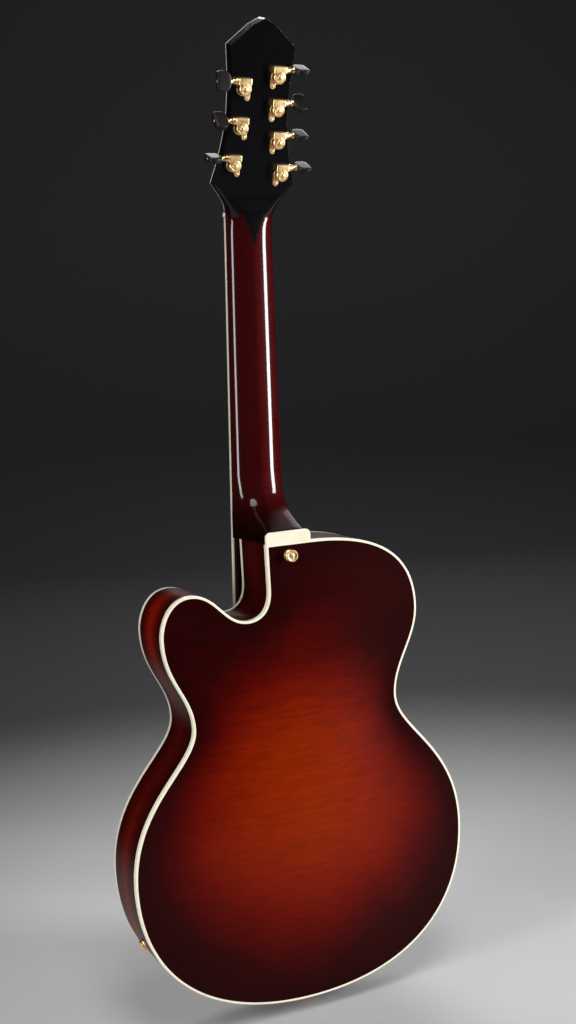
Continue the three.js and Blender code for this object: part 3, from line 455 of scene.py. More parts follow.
MATERIALS = {
    "back_wood": back_wood(),
    "top_wood": top_wood(),
    "rim_wood": rim_wood(),
    "neck_wood": neck_wood(),
    "black_face": black_lacquer(),
    "inner_wood": bare_wood(),
    "ivory_trim": ivory(),
    "ebony": ebony(),
    "black_guard": plastic("black_plastic", (0.006, 0.005, 0.005), (0.012, 0.010, 0.010), 0.2),
    "tuner_button": plastic("button_plastic", (0.006, 0.0045, 0.005), (0.012, 0.009, 0.009), 0.4, 0.06),
    "gold_metal": metal("gold_plate", (0.92, 0.60, 0.27), (0.99, 0.72, 0.38), 0.33),
    "steel": metal("steel", (0.50, 0.50, 0.51), (0.68, 0.68, 0.69), 0.26),
    "bronze": wound_string(),
    "pearl": pearl(),
    "brass": metal("brass", (0.60, 0.40, 0.16), (0.80, 0.58, 0.28), 0.3),
}


# ---------------------------------------------------------------- mesh helpers
def linked(name, data):
    """An object for data, in the scene."""
    obj = bpy.data.objects.new(name, data)
    bpy.context.scene.collection.objects.link(obj)
    return obj


def build(name, part, material, body="guitar", place=None, nodes=(), soft=35, backs=(), inner=None):
    """A piece from (points, faces) in millimetres. Faces listed in backs take the material inner."""
    points, faces = part if place is None else carried(place, part)
    mesh = bpy.data.meshes.new(name)
    mesh.from_pydata([tuple(p) for p in np.array(points, float) * MM], [], [tuple(f) for f in faces])
    mesh.update()
    obj = linked(name, mesh)
    mesh.materials.append(MATERIALS[material])
    if inner:
        mesh.materials.append(MATERIALS[inner])
        for index in backs:
            mesh.polygons[index].material_index = 1
    tidy_normals(obj)
    soften(obj, soft)
    if body:
        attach(obj, body)
    if nodes:
        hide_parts(*nodes)
    return obj


def tidy_normals(obj):
    shape = bmesh.new()
    shape.from_mesh(obj.data)
    bmesh.ops.recalc_face_normals(shape, faces=shape.faces)
    shape.to_mesh(obj.data)
    shape.free()


def soften(obj, angle):
    """Smooth shading, with edges sharper than angle kept crisp."""
    obj.data.polygons.foreach_set("use_smooth", [True] * len(obj.data.polygons))
    obj.data.set_sharp_from_angle(angle=math.radians(angle))


BEVELLED = []


def bevel(obj, width, segments, angle=35):
    """Rounds the edges that turn by more than angle, and bakes that into the mesh."""
    shape = bmesh.new()
    shape.from_mesh(obj.data)
    bmesh.ops.remove_doubles(shape, verts=shape.verts, dist=1e-6)
    edges = [e for e in shape.edges if len(e.link_faces) == 2 and e.calc_face_angle(0) > math.radians(angle)]
    options = {"offset_type": "OFFSET", "profile": 0.5, "affect": "EDGES", "clamp_overlap": True}
    bmesh.ops.bevel(shape, geom=edges, offset=width * MM, segments=segments, **options)
    shape.to_mesh(obj.data)
    shape.free()
    soften(obj, 40)
    BEVELLED.append(obj)


def keep_flats_flat():
    """Leaves the shading of flat faces to the faces and lets the narrow bevels carry the turn."""
    for obj in BEVELLED:
        obj.modifiers.new("flats", "WEIGHTED_NORMAL").keep_sharp = True


def paint(obj, name, values):
    """Stores one number for each point, which the piece's material reads."""
    layer = obj.data.attributes.new(name, "FLOAT", "POINT")
    layer.data.foreach_set("value", values.astype(np.float32))


def joined(parts):
    """Several (points, faces) as one."""
    points, faces = [], []
    for more_points, more_faces in parts:
        start = len(points)
        points += [tuple(p) for p in more_points]
        faces += [tuple(i + start for i in f) for f in more_faces]
    return points, faces


def carried(matrix, part):
    points, faces = part
    return [tuple(matrix @ Vector(p)) for p in points], faces


def skin(loops, caps=True):
    """A surface over closed loops of equal length, each a list of points."""
    count = len(loops[0])
    points = [tuple(p) for loop in loops for p in loop]
    faces = []
    for s in range(len(loops) - 1):
        for i in range(count):
            j = (i + 1) % count
            faces.append((s * count + i, s * count + j, (s + 1) * count + j, (s + 1) * count + i))
    if caps:
        for s in (0, len(loops) - 1):
            middle = len(points)
            points.append(tuple(np.mean(np.array(loops[s], float), axis=0)))
            faces += [(middle, s * count + i, s * count + (i + 1) % count) for i in range(count)]
    return points, faces


def turned(profile, sides, flutes=0, cut=0.0):
    """A turned part along local Z from [(radius, height), ...]; flutes cut shallow grooves round it."""
    loops = []
    for radius, height in profile:
        loop = []
        for k in range(sides):
            angle = 2 * math.pi * k / sides
            r = max(radius, 0.01)
            if flutes:
                r *= 1 - cut * (0.5 - 0.5 * math.cos(angle * flutes))
            loop.append((r * math.cos(angle), r * math.sin(angle), height))
        loops.append(loop)
    return skin(loops)


def bore(place, radius, depth):
    """A round cutter that starts at place and runs up its Z."""
    return carried(place, turned([(radius, 0), (radius, depth)], 24))


def pipe(path, radius, sides):
    """A tube along points, its section square to the path."""
    path = [Vector(p) for p in path]
    loops = []
    side = None
    for i, point in enumerate(path):
        along = (path[min(i + 1, len(path) - 1)] - path[max(i - 1, 0)]).normalized()
        if side is None:
            guide = Vector((1, 0, 0)) if abs(along.x) < 0.8 else Vector((0, 1, 0))
            side = guide.cross(along).normalized()
        side = (side - along * side.dot(along)).normalized()
        up = along.cross(side)
        loop = []
        for k in range(sides):
            angle = 2 * math.pi * k / sides
            loop.append(tuple(point + side * (radius * math.cos(angle)) + up * (radius * math.sin(angle))))
        loops.append(loop)
    return skin(loops)


def prism(outline, low, high, axis="y"):
    """A flat shape given by its outline, between two heights along axis."""
    points = []
    for height in (low, high):
        points += [(a, height, b) if axis == "y" else (a, b, height) for a, b in outline]
    count = len(outline)
    faces = [(i, (i + 1) % count, count + (i + 1) % count, count + i) for i in range(count)]
    faces += [tuple(range(count)), tuple(range(count, 2 * count))]
    return points, faces


def brick(low, high):
    (x0, y0, z0), (x1, y1, z1) = low, high
    return prism([(x0, z0), (x1, z0), (x1, z1), (x0, z1)], y0, y1)


def arc(cx, cy, radius, start, end, steps):
    """Points of an arc, angles in degrees."""
    angles = [math.radians(start + (end - start) * i / steps) for i in range(steps + 1)]
    return [(cx + radius * math.cos(a), cy + radius * math.sin(a)) for a in angles]


def hexagon(radius):
    angles = [math.radians(a) for a in range(0, 360, 60)]
    return [(radius * math.cos(a), radius * math.sin(a)) for a in angles]


def rounded(x0, z0, x1, z1, radius, steps):
    """A rectangle's outline with round corners."""
    corners = [(x1 - radius, z0 + radius, -90), (x1 - radius, z1 - radius, 0)]
    corners += [(x0 + radius, z1 - radius, 90), (x0 + radius, z0 + radius, 180)]
    return [p for cx, cz, start in corners for p in arc(cx, cz, radius, start, start + 90, steps)]


def mirrored(side):
    """A closed outline from its right half."""
    return side + [(-x, z) for x, z in side[::-1]]


def along_axis(origin, direction):
    """Places a turned part: its local Z runs from origin along direction."""
    return Matrix.Translation(origin) @ Vector(direction).to_track_quat("Z", "Y").to_matrix().to_4x4()


def cut_away(obj, part):
    """Takes a solid away from a piece, and bakes that into its mesh."""
    mesh = bpy.data.meshes.new("cutter")
    mesh.from_pydata([tuple(c * MM for c in p) for p in part[0]], [], part[1])
    cutter = linked("cutter", mesh)
    tidy_normals(cutter)
    modifier = obj.modifiers.new("cut", "BOOLEAN")
    modifier.operation, modifier.object, modifier.solver = "DIFFERENCE", cutter, "EXACT"
    modifier.use_self = True
    bpy.context.view_layer.update()
    result = bpy.data.meshes.new_from_object(obj.evaluated_get(bpy.context.evaluated_depsgraph_get()))
    obj.modifiers.remove(modifier)
    obj.data = result
    bpy.data.objects.remove(cutter)
    soften(obj, 40)


def smoothed(xs, ys, at, window):
    """Values of a polyline at many places, its corners rounded over window."""
    offsets = np.linspace(-window / 2, window / 2, 9)
    return np.mean([np.interp(np.array(at) + o, xs, ys) for o in offsets], axis=0)


def smooth_line(points, steps, window):
    """The two coordinates of a polyline at even steps, its corners rounded over window."""
    at = np.linspace(0, len(points) - 1, steps)
    return [smoothed(range(len(points)), [p[k] for p in points], at, window) for k in (0, 1)]


def moved_in(outline, distance):
    """A closed outline moved inwards, its corners mitred."""
    before = outline - np.roll(outline, 1, axis=0)
    after = np.roll(outline, -1, axis=0) - outline
    before /= np.linalg.norm(before, axis=1)[:, None]
    after /= np.linalg.norm(after, axis=1)[:, None]
    normal = np.stack([-before[:, 1], before[:, 0]], 1)
    mitre = normal + np.stack([-after[:, 1], after[:, 0]], 1)
    mitre /= np.linalg.norm(mitre, axis=1)[:, None]
    share = np.maximum((mitre * normal).sum(1), 0.5)
    return outline + mitre * (distance / share)[:, None]


def screw(name, place, radius, body="guitar"):
    """A small domed screw head with a cross slot, standing on local Z = 0."""
    dome = [(0, -0.4), (radius, -0.4), (radius, 0.15), (radius * 0.8, 0.5), (radius * 0.4, 0.66), (0, 0.7)]
    obj = build(name, turned(dome, 20), "gold_metal", body, place)
    arm, slot = radius * 0.62, radius * 0.13
    cross = [brick((-arm, -slot, 0.3), (arm, slot, 1.2)), brick((-slot, -arm, 0.3), (slot, arm, 1.2))]
    cut_away(obj, carried(place, joined(cross)))


# ---------------------------------------------------------------- body outline
KNOTS = [  # across, up from the tail, heading, curve handles before and after
    ((0, 0), (1, 0), 128, 128),
    ((LOWER_BOUT / 2, 170), (0, 1), 104, 94),
    ((WAIST / 2, 335), (0, 1), 40, 37),
    ((155, 436), (0, 1), 48, 17),
    ((119, 481), (-1, 0), 26, 31),
    ((53, 445), (-1, 0), 28, 14),
    ((CUTAWAY_WALL, 476), (0, 1), 22, 0),
    ((CUTAWAY_WALL, BODY_LENGTH), (-1, 0), 0, 0),
    ((-HEEL_HALF, BODY_LENGTH), (-1, 0), 0, 86),
    ((-UPPER_BOUT / 2, 436), (0, -1), 60, 38),
    ((-WAIST / 2, 335), (0, -1), 37, 42),
    ((-LOWER_BOUT / 2, 170), (0, -1), 94, 104),
]
STEP = 3.6  # spacing of points round the outline


def body_outline():
    """The outline from the tail round by the treble side, as (x, z) with z from the tail."""
    points = []
    for i, (start, heading, _, leave) in enumerate(KNOTS):
        end, arriving, arrive, _ = KNOTS[(i + 1) % len(KNOTS)]
        a, d = np.array(start, float), np.array(end, float)
        b = a + np.array(heading) * leave if leave else a + (d - a) / 3
        c = d - np.array(arriving) * arrive if leave else a + (d - a) * 2 / 3
        steps = max(3, round(np.linalg.norm(d - a) * 1.12 / STEP))
        for t in np.arange(steps) / steps:
            points.append(a * (1 - t) ** 3 + 3 * b * t * (1 - t) ** 2 + 3 * c * t * t * (1 - t) + d * t**3)
    return np.array(points)


OUTLINE = body_outline()


def ring(profile):
    """A closed band round the body: profile is [(inset, y), ...], going round its section."""
    loops = [[(x, y, z + BASE) for x, z in moved_in(OUTLINE, distance)] for distance, y in profile]
    loops.append(loops[0])
    points, faces = skin(loops, caps=False)
    last = len(OUTLINE) * len(profile)
    return points[:last], [tuple(i % last for i in face) for face in faces]


def membrane(points, triangles, fixed):
    """How high a soap film lifted off the outline stands at each point: 0 at the edge, 1 at its top."""
    corner = points[triangles]
    edges = [corner[:, (k + 2) % 3] - corner[:, (k + 1) % 3] for k in range(3)]
    area = np.abs(edges[0][:, 0] * edges[1][:, 1] - edges[0][:, 1] * edges[1][:, 0]) / 2
    rows, columns, weights = [], [], []
    for k in range(3):
        i, j = triangles[:, (k + 1) % 3], triangles[:, (k + 2) % 3]
        weight = -(edges[(k + 1) % 3] * edges[(k + 2) % 3]).sum(1) / (4 * area)
        rows += [i, j]
        columns += [j, i]
        weights += [weight, weight]
    rows, columns, weights = (np.concatenate(a) for a in (rows, columns, weights))
    count = len(points)
    diagonal = np.bincount(rows, weights, count)
    load = np.bincount(triangles.ravel(), np.repeat(area / 3, 3), count)
    free = ~fixed

    def stiffness(u):
        return (diagonal * u - np.bincount(rows, weights * u[columns], count)) * free

    height = np.zeros(count)
    left = load * free
    scaled = left / diagonal
    search, dot = scaled.copy(), left @ scaled
    for _ in range(900):
        pushed = stiffness(search)
        step = dot / (search @ pushed)
        height += step * search
        left -= step * pushed
        scaled = left / diagonal
        fresh = left @ scaled
        if fresh < 1e-14 * dot:
            break
        search, dot = scaled + fresh / dot * search, fresh
    return height / height.max()


RINGS = 30


def plate_layout():
    """Points of a plate spread out from its centre in scaled copies of its outline, and its faces."""
    edge = moved_in(OUTLINE, BINDING_WIDTH - 0.1) - (0, PLATE_CENTRE)
    shares = np.linspace(0, 1, RINGS + 1)[1:] ** 0.85
    points = np.concatenate([[(0, 0)]] + [edge * share for share in shares]) + (0, PLATE_CENTRE)
    count = len(edge)
    faces = [(0, 1 + i, 1 + (i + 1) % count) for i in range(count)]
    for r in range(RINGS - 1):
        for i in range(count):
            j = (i + 1) % count
            low, high = 1 + r * count, 1 + (r + 1) * count
            faces.append((low + i, high + i, high + j, low + j))
    return points, faces, count


FLAT, FLAT_FACES, EDGE_COUNT = plate_layout()
TRIANGLES = np.array([(f[0], f[k], f[k + 1]) for f in FLAT_FACES for k in range(1, len(f) - 1)])
ON_EDGE = np.arange(len(FLAT)) >= len(FLAT) - EDGE_COUNT
LIFT = membrane(FLAT, TRIANGLES, ON_EDGE)


def front_at(x, z):
    """The front's surface height (y) at a point of the body."""
    distance = np.hypot(FLAT[:, 0] - x, FLAT[:, 1] + BASE - z)
    near = np.argsort(distance)[:4]
    weight = 1 / (distance[near] + 0.01)
    return -HALF_DEPTH - TOP_ARCH * (LIFT[near] ** ARCH_POWER @ weight) / weight.sum()


def plate(name, side, arch, material):
    """A carved plate with its bare inner face."""
    height = arch * LIFT**ARCH_POWER
    points = []
    for thickness in (0, PLATE):
        points += [(x, side * (HALF_DEPTH + h - thickness), z + BASE) for (x, z), h in zip(FLAT, height)]
    count = len(FLAT)
    faces = list(FLAT_FACES) + [tuple(i + count for i in reversed(f)) for f in FLAT_FACES]
    backs = range(len(FLAT_FACES), 2 * len(FLAT_FACES))
    start = count - EDGE_COUNT
    for i in range(EDGE_COUNT):
        a, b = start + i, start + (i + 1) % EDGE_COUNT
        faces.append((a, b, b + count, a + count))
    return build(name, (points, faces), material, nodes=[name], soft=50, backs=backs, inner="inner_wood")


def paint_burst(obj, arch):
    """Stores how far up the arch each point is, which is what shades the sunburst."""
    height = np.array([abs(v.co.y) / MM - HALF_DEPTH for v in obj.data.vertices]) / arch
    paint(obj, "burst", np.clip(height, 0, 1) ** (1 / ARCH_POWER))


# ---------------------------------------------------------------- sound holes
F_X, F_Z = 76, 228
F_STROKE = [  # across, up and width
    (-20, 44, 1.5),
    (-19, 57, 2.2),
    (-9, 63, 3.2),
    (-3.5, 52, 5.6),
    (-2.5, 28, 8.4),
    (0, 0, 9),
    (2.5, -28, 8.4),
    (3.5, -52, 5.6),
    (9, -63, 3.2),
    (19, -57, 2.2),
]
F_STEPS = 46


def f_stroke(side):
    """One f-hole as overlapping solids: a curved stroke, two eyes and the two nicks at its middle."""
    xs, zs = smooth_line(F_STROKE, F_STEPS, 1.3)
    at = np.linspace(0, len(F_STROKE) - 1, F_STEPS)
    wide = np.interp(at, range(len(F_STROKE)), [width for _, _, width in F_STROKE]) / 2
    dx, dz = np.gradient(xs), np.gradient(zs)
    length = np.hypot(dx, dz)
    across, along = wide * dz / length, wide * dx / length
    left = list(zip(xs - across, zs + along))
    right = list(zip(xs + across, zs - along))
    shapes = [left + right[::-1], arc(-15.5, 45, 6, 0, 342, 19), arc(15, -47, 7.5, 0, 342, 19)]
    shapes += [[(-8.5, -2), (0, -4), (0, 6)], [(8.5, 2), (0, 4), (0, -6)]]
    low, high = -HALF_DEPTH - TOP_ARCH - 6, -HALF_DEPTH + PLATE + 6
    return [prism([(side * (F_X + x), BASE + F_Z + z) for x, z in shape], low, high) for shape in shapes]


# ---------------------------------------------------------------- the body
def soft_edges(corners, radius):
    """A section's corners, each one rounded a little: corners are (inset, y, round or not)."""
    profile = []
    for k, (inset, y, round_it) in enumerate(corners):
        if not round_it:
            profile.append((inset, y))
            continue
        corner = np.array((inset, y), float)
        ends = []
        for other in (corners[k - 1], corners[(k + 1) % len(corners)]):
            way = np.array(other[:2], float) - corner
            ends.append(corner + way / np.linalg.norm(way) * radius)
        for t in (0, 0.3, 0.7, 1):
            profile.append(tuple(ends[0] * (1 - t) ** 2 + corner * 2 * t * (1 - t) + ends[1] * t * t))
    return profile


def make_bindings():
    for name, side in (("back_binding", 1), ("top_binding", -1)):
        face, under = side * (HALF_DEPTH + 0.1), side * (HALF_DEPTH - BINDING_DEPTH)
        corners = [(0, face, True), (BINDING_WIDTH, face, False)]
        corners += [(BINDING_WIDTH, under, False), (0, under, False)]
        build(name + "_strip", ring(soft_edges(corners, 0.9)), "ivory_trim", nodes=[name], soft=60)
    face, under = -HALF_DEPTH - 0.12, -HALF_DEPTH + 1.5
    purfling = [(BINDING_WIDTH, face), (PURFLING_EDGE, face), (PURFLING_EDGE, under), (BINDING_WIDTH, under)]
    build("top_purfling", ring(purfling), "black_guard", soft=60)


def make_rim():
    """The bent sides and their linings, painted with the way round them and with light painted on at the
    treble horn and the lower bouts.
    """
    inner = HALF_DEPTH - BINDING_DEPTH
    wall = HALF_DEPTH - PLATE - 0.3
    outside = [(0.12 * abs(y / inner) ** 8, y) for y in np.linspace(-inner, inner, 9)]
    lining = [(3.2, inner), (3.2, wall), (8.5, wall), (3.0, wall - 11)]
    profile = outside + lining + [(inset, -y) for inset, y in lining[::-1]]
    points, faces = ring(profile)
    backs = [i for i in range(len(faces)) if i // len(OUTLINE) >= len(outside) - 1]
    inside = {"backs": backs, "inner": "inner_wood"}
    obj = build("rim_sides", (points, faces), "rim_wood", nodes=["rim"], soft=50, **inside)
    steps = np.linalg.norm(np.roll(OUTLINE, -1, axis=0) - OUTLINE, axis=1)
    around = np.concatenate([[0], np.cumsum(steps)[:-1]]) * MM
    x, z = OUTLINE.T
    # painted light: a bright patch at the treble horn and a weaker one at each lower bout
    horn_light = np.exp(-(((x - 150) / 45) ** 2) - ((z - 440) / 60) ** 2)
    bout_light = 0.55 * np.exp(-(((np.abs(x) - 190) / 40) ** 2) - ((z - 160) / 95) ** 2)
    for name, values in (("around", around), ("glow", np.clip(horn_light + bout_light, 0, 1))):
        paint(obj, name, np.tile(values, len(profile)))


def make_body():
    back = plate("back_plate", 1, BACK_ARCH, "back_wood")
    paint_burst(back, BACK_ARCH)
    top = plate("top_plate", -1, TOP_ARCH, "top_wood")
    holes = [bore(along_axis((x, -30, z), FORWARDS), 4.8, 40) for x, z in CONTROLS]
    cut_away(top, joined(f_stroke(1) + f_stroke(-1) + holes))
    paint_burst(top, TOP_ARCH)
    make_rim()
    make_bindings()


def make_heel_cap():
    low, top = BASE + BODY_LENGTH - 0.2, BASE + BODY_LENGTH + HEEL_LENGTH
    left, right, radius = -HEEL_HALF, CUTAWAY_WALL, 6
    outline = [(left, low), (right, low)]
    outline += arc(right - radius, top - radius, radius, 0, 90, 8)
    outline += arc(left + radius, top - radius, radius, 90, 180, 8)
    cap = prism(outline, HALF_DEPTH - 3.2, HALF_DEPTH + 0.1)
    bevel(build("heel_cap_plate", cap, "ivory_trim", nodes=["heel_cap"]), 0.8, 3, 50)


# ---------------------------------------------------------------- neck and head
# Sections of the neck: height, half width at the board, depth, squareness, taper, lean up the neck.
JOINT = -fret_at(BODY_FRET) + 0.3
HEEL_DEPTH = (HALF_DEPTH - 3.3 - NUT_Y + fret_at(BODY_FRET) * math.sin(NECK_PITCH)) * math.cos(NECK_PITCH)
HEEL_TAPER = 1 - CUTAWAY_WALL / board_half(JOINT)
LEAN = math.tan(NECK_PITCH)
SHAFT = [
    (JOINT, board_half(JOINT), HEEL_DEPTH, 0.20, HEEL_TAPER, LEAN),
    (JOINT + 10.5, board_half(JOINT), HEEL_DEPTH - 10 * LEAN, 0.22, HEEL_TAPER, LEAN),
    (JOINT + 17, board_half(JOINT), HEEL_DEPTH - 9, 0.34, HEEL_TAPER, LEAN / 2),
    (JOINT + 26, board_half(JOINT), HEEL_DEPTH - 24, 0.5, HEEL_TAPER / 2, 0),
    (JOINT + 36, board_half(JOINT) - 0.6, 33, 0.68, 0, 0),
    (JOINT + 50, board_half(JOINT + 50) - 0.3, 23, 0.82, 0, 0),
    (JOINT + 72, board_half(JOINT + 72) - 0.2, 18.7, 0.9, 0, 0),
    (-fret_at(5), board_half(-fret_at(5)) - 0.2, 17.2, 0.9, 0, 0),
    (-26, board_half(-26) - 0.2, 16.2, 0.9, 0, 0),
    (-12, 27, 16.2, 0.86, 0, 0),
    (0, 27, 16.6, 0.66, 0, 0),
    (12, 29, 15.2, 0.36, 0, 0),
    (24, 36, HEAD_CORE, 0.14, 0, 0),
    (SHOULDER, 46.5, HEAD_CORE, 0.05, 0, 0),
]
HEAD_SIDE = [(27, -2), (27, 2), (29, 13), (36, 24), (46.5, SHOULDER)]
HEAD_WAIST = [(46.5, SHOULDER), (40, 60), (35.5, 83), (32.5, 109), (33, 145), (37, 182)]
HEAD_CROWN = [(37, 182), (13, 203), (0, HEAD_LENGTH)]
FACE_LOW = 6.4  # where the head's front veneers start, above the nut
ROD_POCKET = carried(HEAD, brick((-6, -3.5, 4), (6, 8, 26)))


def head_half(s):
    """Half the head's width at a height up the head."""
    for part, window in ((HEAD_SIDE, 5), (HEAD_WAIST, 13), (HEAD_CROWN, 0)):
        low, high = part[0][1], part[-1][1]
        if s <= high:
            window = max(min(window, 2 * (s - low), 2 * (high - s)), 0)
            return float(smoothed([p[1] for p in part], [p[0] for p in part], [s], window)[0])
    return 0.0


def half_section(half, depth, power, taper, lean):
    """One section of the neck from its treble edge round the back to its bass edge, and along the front."""
    steps = 36
    points = []
    for i in range(steps + 1):
        angle = math.pi * i / steps
        cosine, sine = math.cos(angle), max(math.sin(angle), 0)
        deep = sine**power
        across = half * (1 - taper * deep) * math.copysign(abs(cosine) ** power, cosine)
        points.append((across, depth * deep, lean * depth * deep))
    return points + [(half * k / 5, 0, 0) for k in (-4, -2, 0, 2, 4)]


def make_neck():
    """The shaft with its heel and the start of the head, then the tongue that enters the body."""
    heel = np.linspace(JOINT, JOINT + 76, 40)
    at = np.concatenate([heel, np.linspace(JOINT + 84, -26, 34), np.linspace(-22, SHOULDER, 32)])
    window = np.where(at < JOINT + 11, 0.0, 9.0)
    window = np.minimum(window, np.minimum(2 * (at - JOINT), 2 * (SHOULDER - at)))
    heights, *rows = zip(*SHAFT)
    columns = [[smoothed(heights, values, [a], w)[0] for a, w in zip(at, window)] for values in rows]
    loops = []
    for z, half, *shape in zip(at, *columns):
        half = head_half(z) if z > 0 else half
        bent = min(max((z + HEAD_BEND) / (2 * HEAD_BEND), 0), 1)
        origin = (NECK if z < 0 else HEAD) @ Vector((0, 0, z))
        pitch = Matrix.Rotation(-NECK_PITCH, 4, "X") @ Matrix.Rotation(-HEAD_PITCH * bent, 4, "X")
        place = Matrix.Translation(origin) @ pitch
        loops.append([place @ Vector(p) for p in half_section(half, *shape)])
    neck = build("neck_shaft", skin(loops), "neck_wood", nodes=["neck"], soft=48)
    cut_away(neck, joined([carried(NECK, brick((-6, -1, -3), (6, 9.4, 14))), ROD_POCKET]))

    tongue = joined([
        brick((-27, 0, 4 - BOARD_LENGTH), (27, 6, JOINT + 2)),
        brick((-10, 0, JOINT - 14), (10, HEEL_DEPTH - 6, JOINT + 2)),
    ])
    bevel(build("neck_tongue", tongue, "neck_wood", place=NECK), 0.8, 2)


def head_outline(low, shrink=0.0):
    """The head's outline from height low up to its peak, mirrored, moved inwards by shrink."""
    heights = list(np.linspace(low, SHOULDER, 12)) + list(np.linspace(41, 182, 34)) + [192, 203]
    side = [(head_half(s), s) for s in heights] + [(0, HEAD_LENGTH)]
    outline = np.array(side + [(-x, s) for x, s in side[-2::-1]])
    return [tuple(p) for p in moved_in(outline, shrink)]


def make_head():
    holes = [bore(HEAD @ along_axis((x, -8, s), BACKWARDS), 4.5, 30) for x, s, _, _ in TUNERS]
    core = build("head_core", prism(head_outline(SHOULDER - 0.5), 0, HEAD_CORE), "neck_wood", place=HEAD)
    bevel(core, 0.7, 2, 50)
    cut_away(core, joined(holes))
    outer, inner = head_outline(FACE_LOW), head_outline(FACE_LOW, 0.7)
    layers = [("head_face", inner, -OVERLAY - 0.3, ["headstock_overlay"]), ("head_veneer", outer, -1.5, [])]
    for name, outline, front, nodes in layers:
        layer = build(name, prism(outline, front, -0.3), "black_face", place=HEAD, nodes=nodes)
        cut_away(layer, joined(holes + [ROD_POCKET]))
    section = [(outer, -1.5), (outer, -OVERLAY - 0.2), (inner, -OVERLAY - 0.35), (inner, -1.5), (outer, -1.5)]
    loops = [[(x, y, s) for x, s in loop] for loop, y in section]
    build("head_binding", skin(loops, caps=False), "ivory_trim", place=HEAD, soft=40)

    sides = [(9.5, 7.5), (9.3, 15), (8.2, 22), (6.3, 28), (3.8, 33), (0, SHOULDER)]
    outline = sides + [(-x, s) for x, s in sides[-2::-1]]
    cover = prism(outline, -5.1, -3.1)
    bevel(build("rod_cover", cover, "black_guard", place=HEAD, nodes=["truss_rod_cover"]), 0.6, 2, 40)
    for k, (x, s) in enumerate(((-6.2, 10.5), (6.2, 10.5), (0, 31)), 1):
        screw(f"rod_cover_screw_{k}", HEAD @ along_axis((x, -5.0, s), FORWARDS), 1.5)


# ---------------------------------------------------------------- fretboard
def make_fretboard():
    """The board between its bindings, then the frets and the pearl blocks."""
    edge = 1.6
    stations = np.linspace(-0.3, -BOARD_LENGTH, 24)
    loops = []
    for z in stations:
        half = board_half(z) - edge
        top = [(half * c, -BOARD + BOARD_CAMBER * c * c, z) for c in np.linspace(-1, 1, 11)]
        loops.append([neck_point(*p) for p in top + [(half, -0.3, z), (-half, -0.3, z)]])
    build("fretboard_wood", skin(loops), "ebony", nodes=["fretboard"], soft=30)
    section = [(edge, -0.3), (edge, -5.15), (0.5, -5.1), (0.1, -4.85), (0, -4.4), (0, -0.3)]
    for name, side in (("board_binding_treble", 1), ("board_binding_bass", -1)):
        loops = [[neck_point(side * (board_half(z) - d), y, z) for d, y in section] for z in stations]
        build(name, skin(loops), "ivory_trim", soft=50)
    half, low = BOARD_END_WIDTH / 2, -BOARD_LENGTH - 0.2
    tail = prism([(half, low), (half, low + 1.2), (-half, low + 1.2), (-half, low)], -5.1, -0.3)
    bevel(build("board_binding_end", tail, "ivory_trim", place=NECK), 0.3, 2)

    bars = []
    for n in range(1, FRETS + 1):
        z = -fret_at(n)
        half = board_half(z) - 0.5
        loops = []
        for c in np.linspace(-1, 1, 9):
            top = -BOARD + BOARD_CAMBER * c * c
            rise = 1.1 * (1 - max(0, (abs(c) - 0.96) / 0.04) * 0.6)
            arch = [(1.25 * math.cos(a), rise * math.sin(a)) for a in np.linspace(0, math.pi, 9)]
            loops.append([neck_point(half * c, top - y, z + x) for x, y in arch])
        bars.append(skin(loops))
    build("frets", joined(bars), "steel", soft=50)

    blocks = []
    for n in MARKED_FRETS:
        low, high = -fret_at(n), -fret_at(n - 1)
        middle, reach = (low + high) / 2, min(8.5, (high - low) * 0.3)
        half = board_half(middle) * 0.52
        top = -BOARD - 0.04
        points, faces = prism(rounded(-half, middle - reach, half, middle + reach, 0.8, 3), top, top + 1.0)
        blocks.append(([(x, y + BOARD_CAMBER * (x / board_half(z)) ** 2, z) for x, y, z in points], faces))
    build("board_markers", joined(blocks), "pearl", place=NECK, soft=30)


# ---------------------------------------------------------------- tuners
HOUSING = [(0, 0.3), (7.6, 0.3), (7.6, 1.3), (7.2, 1.6), (7.2, 7.0), (6.9, 8.1), (6.1, 8.9), (5.1, 9.2)]
HOUSING += [(4.8, 9.0), (4.4, 8.7), (2.9, 8.8), (2.6, 9.3), (1.9, 9.7), (0, 9.8)]
SLEEVE = [(0, 2), (3.7, 2), (3.7, 10.6), (3.5, 11.2), (3.2, 11.5), (2.4, 11.5), (2.4, 2)]
WASHER = [(0, 0), (7.4, 0), (7.4, 0.6), (7.0, 0.9), (0, 0.9)]
BARREL = [(4.2, -20), (4.2, 1.6), (3.9, 2.5), (3.15, 2.5), (3.15, -20)]
WORM_SHAFT = [(0, -5.0), (2.1, -5.0), (2.1, 11.8), (2.9, 12.2), (2.7, 13.4), (2.3, 14.4)]
WORM_SHAFT += [(2.8, 15.6), (3.4, 16.6), (3.4, 17.3), (0, 17.3)]
BUTTON = [  # along the shaft, half height, half thickness
    (16.9, 5.2, 3.2),
    (17.5, 6.8, 3.5),
    (19.0, 8.9, 3.6),
    (21.0, 10.2, 3.6),
    (23.2, 10.9, 3.6),
    (25.4, 11.1, 3.6),
    (27.4, 11.0, 3.6),
    (29.4, 10.6, 3.6),
    (31.0, 9.8, 3.5),
    (31.7, 9.0, 3.2),
    (32.0, 8.0, 2.7),
]
BUTTON_SQUARENESS = 0.32  # 1 gives an ellipse, 0 a rectangle
EAR_X, EAR_HALF = -5.0, 3.1
COIL_STEPS = 20


def tuner_frame(x, s):
    return HEAD @ Matrix.Translation((x, HEAD_CORE, s))


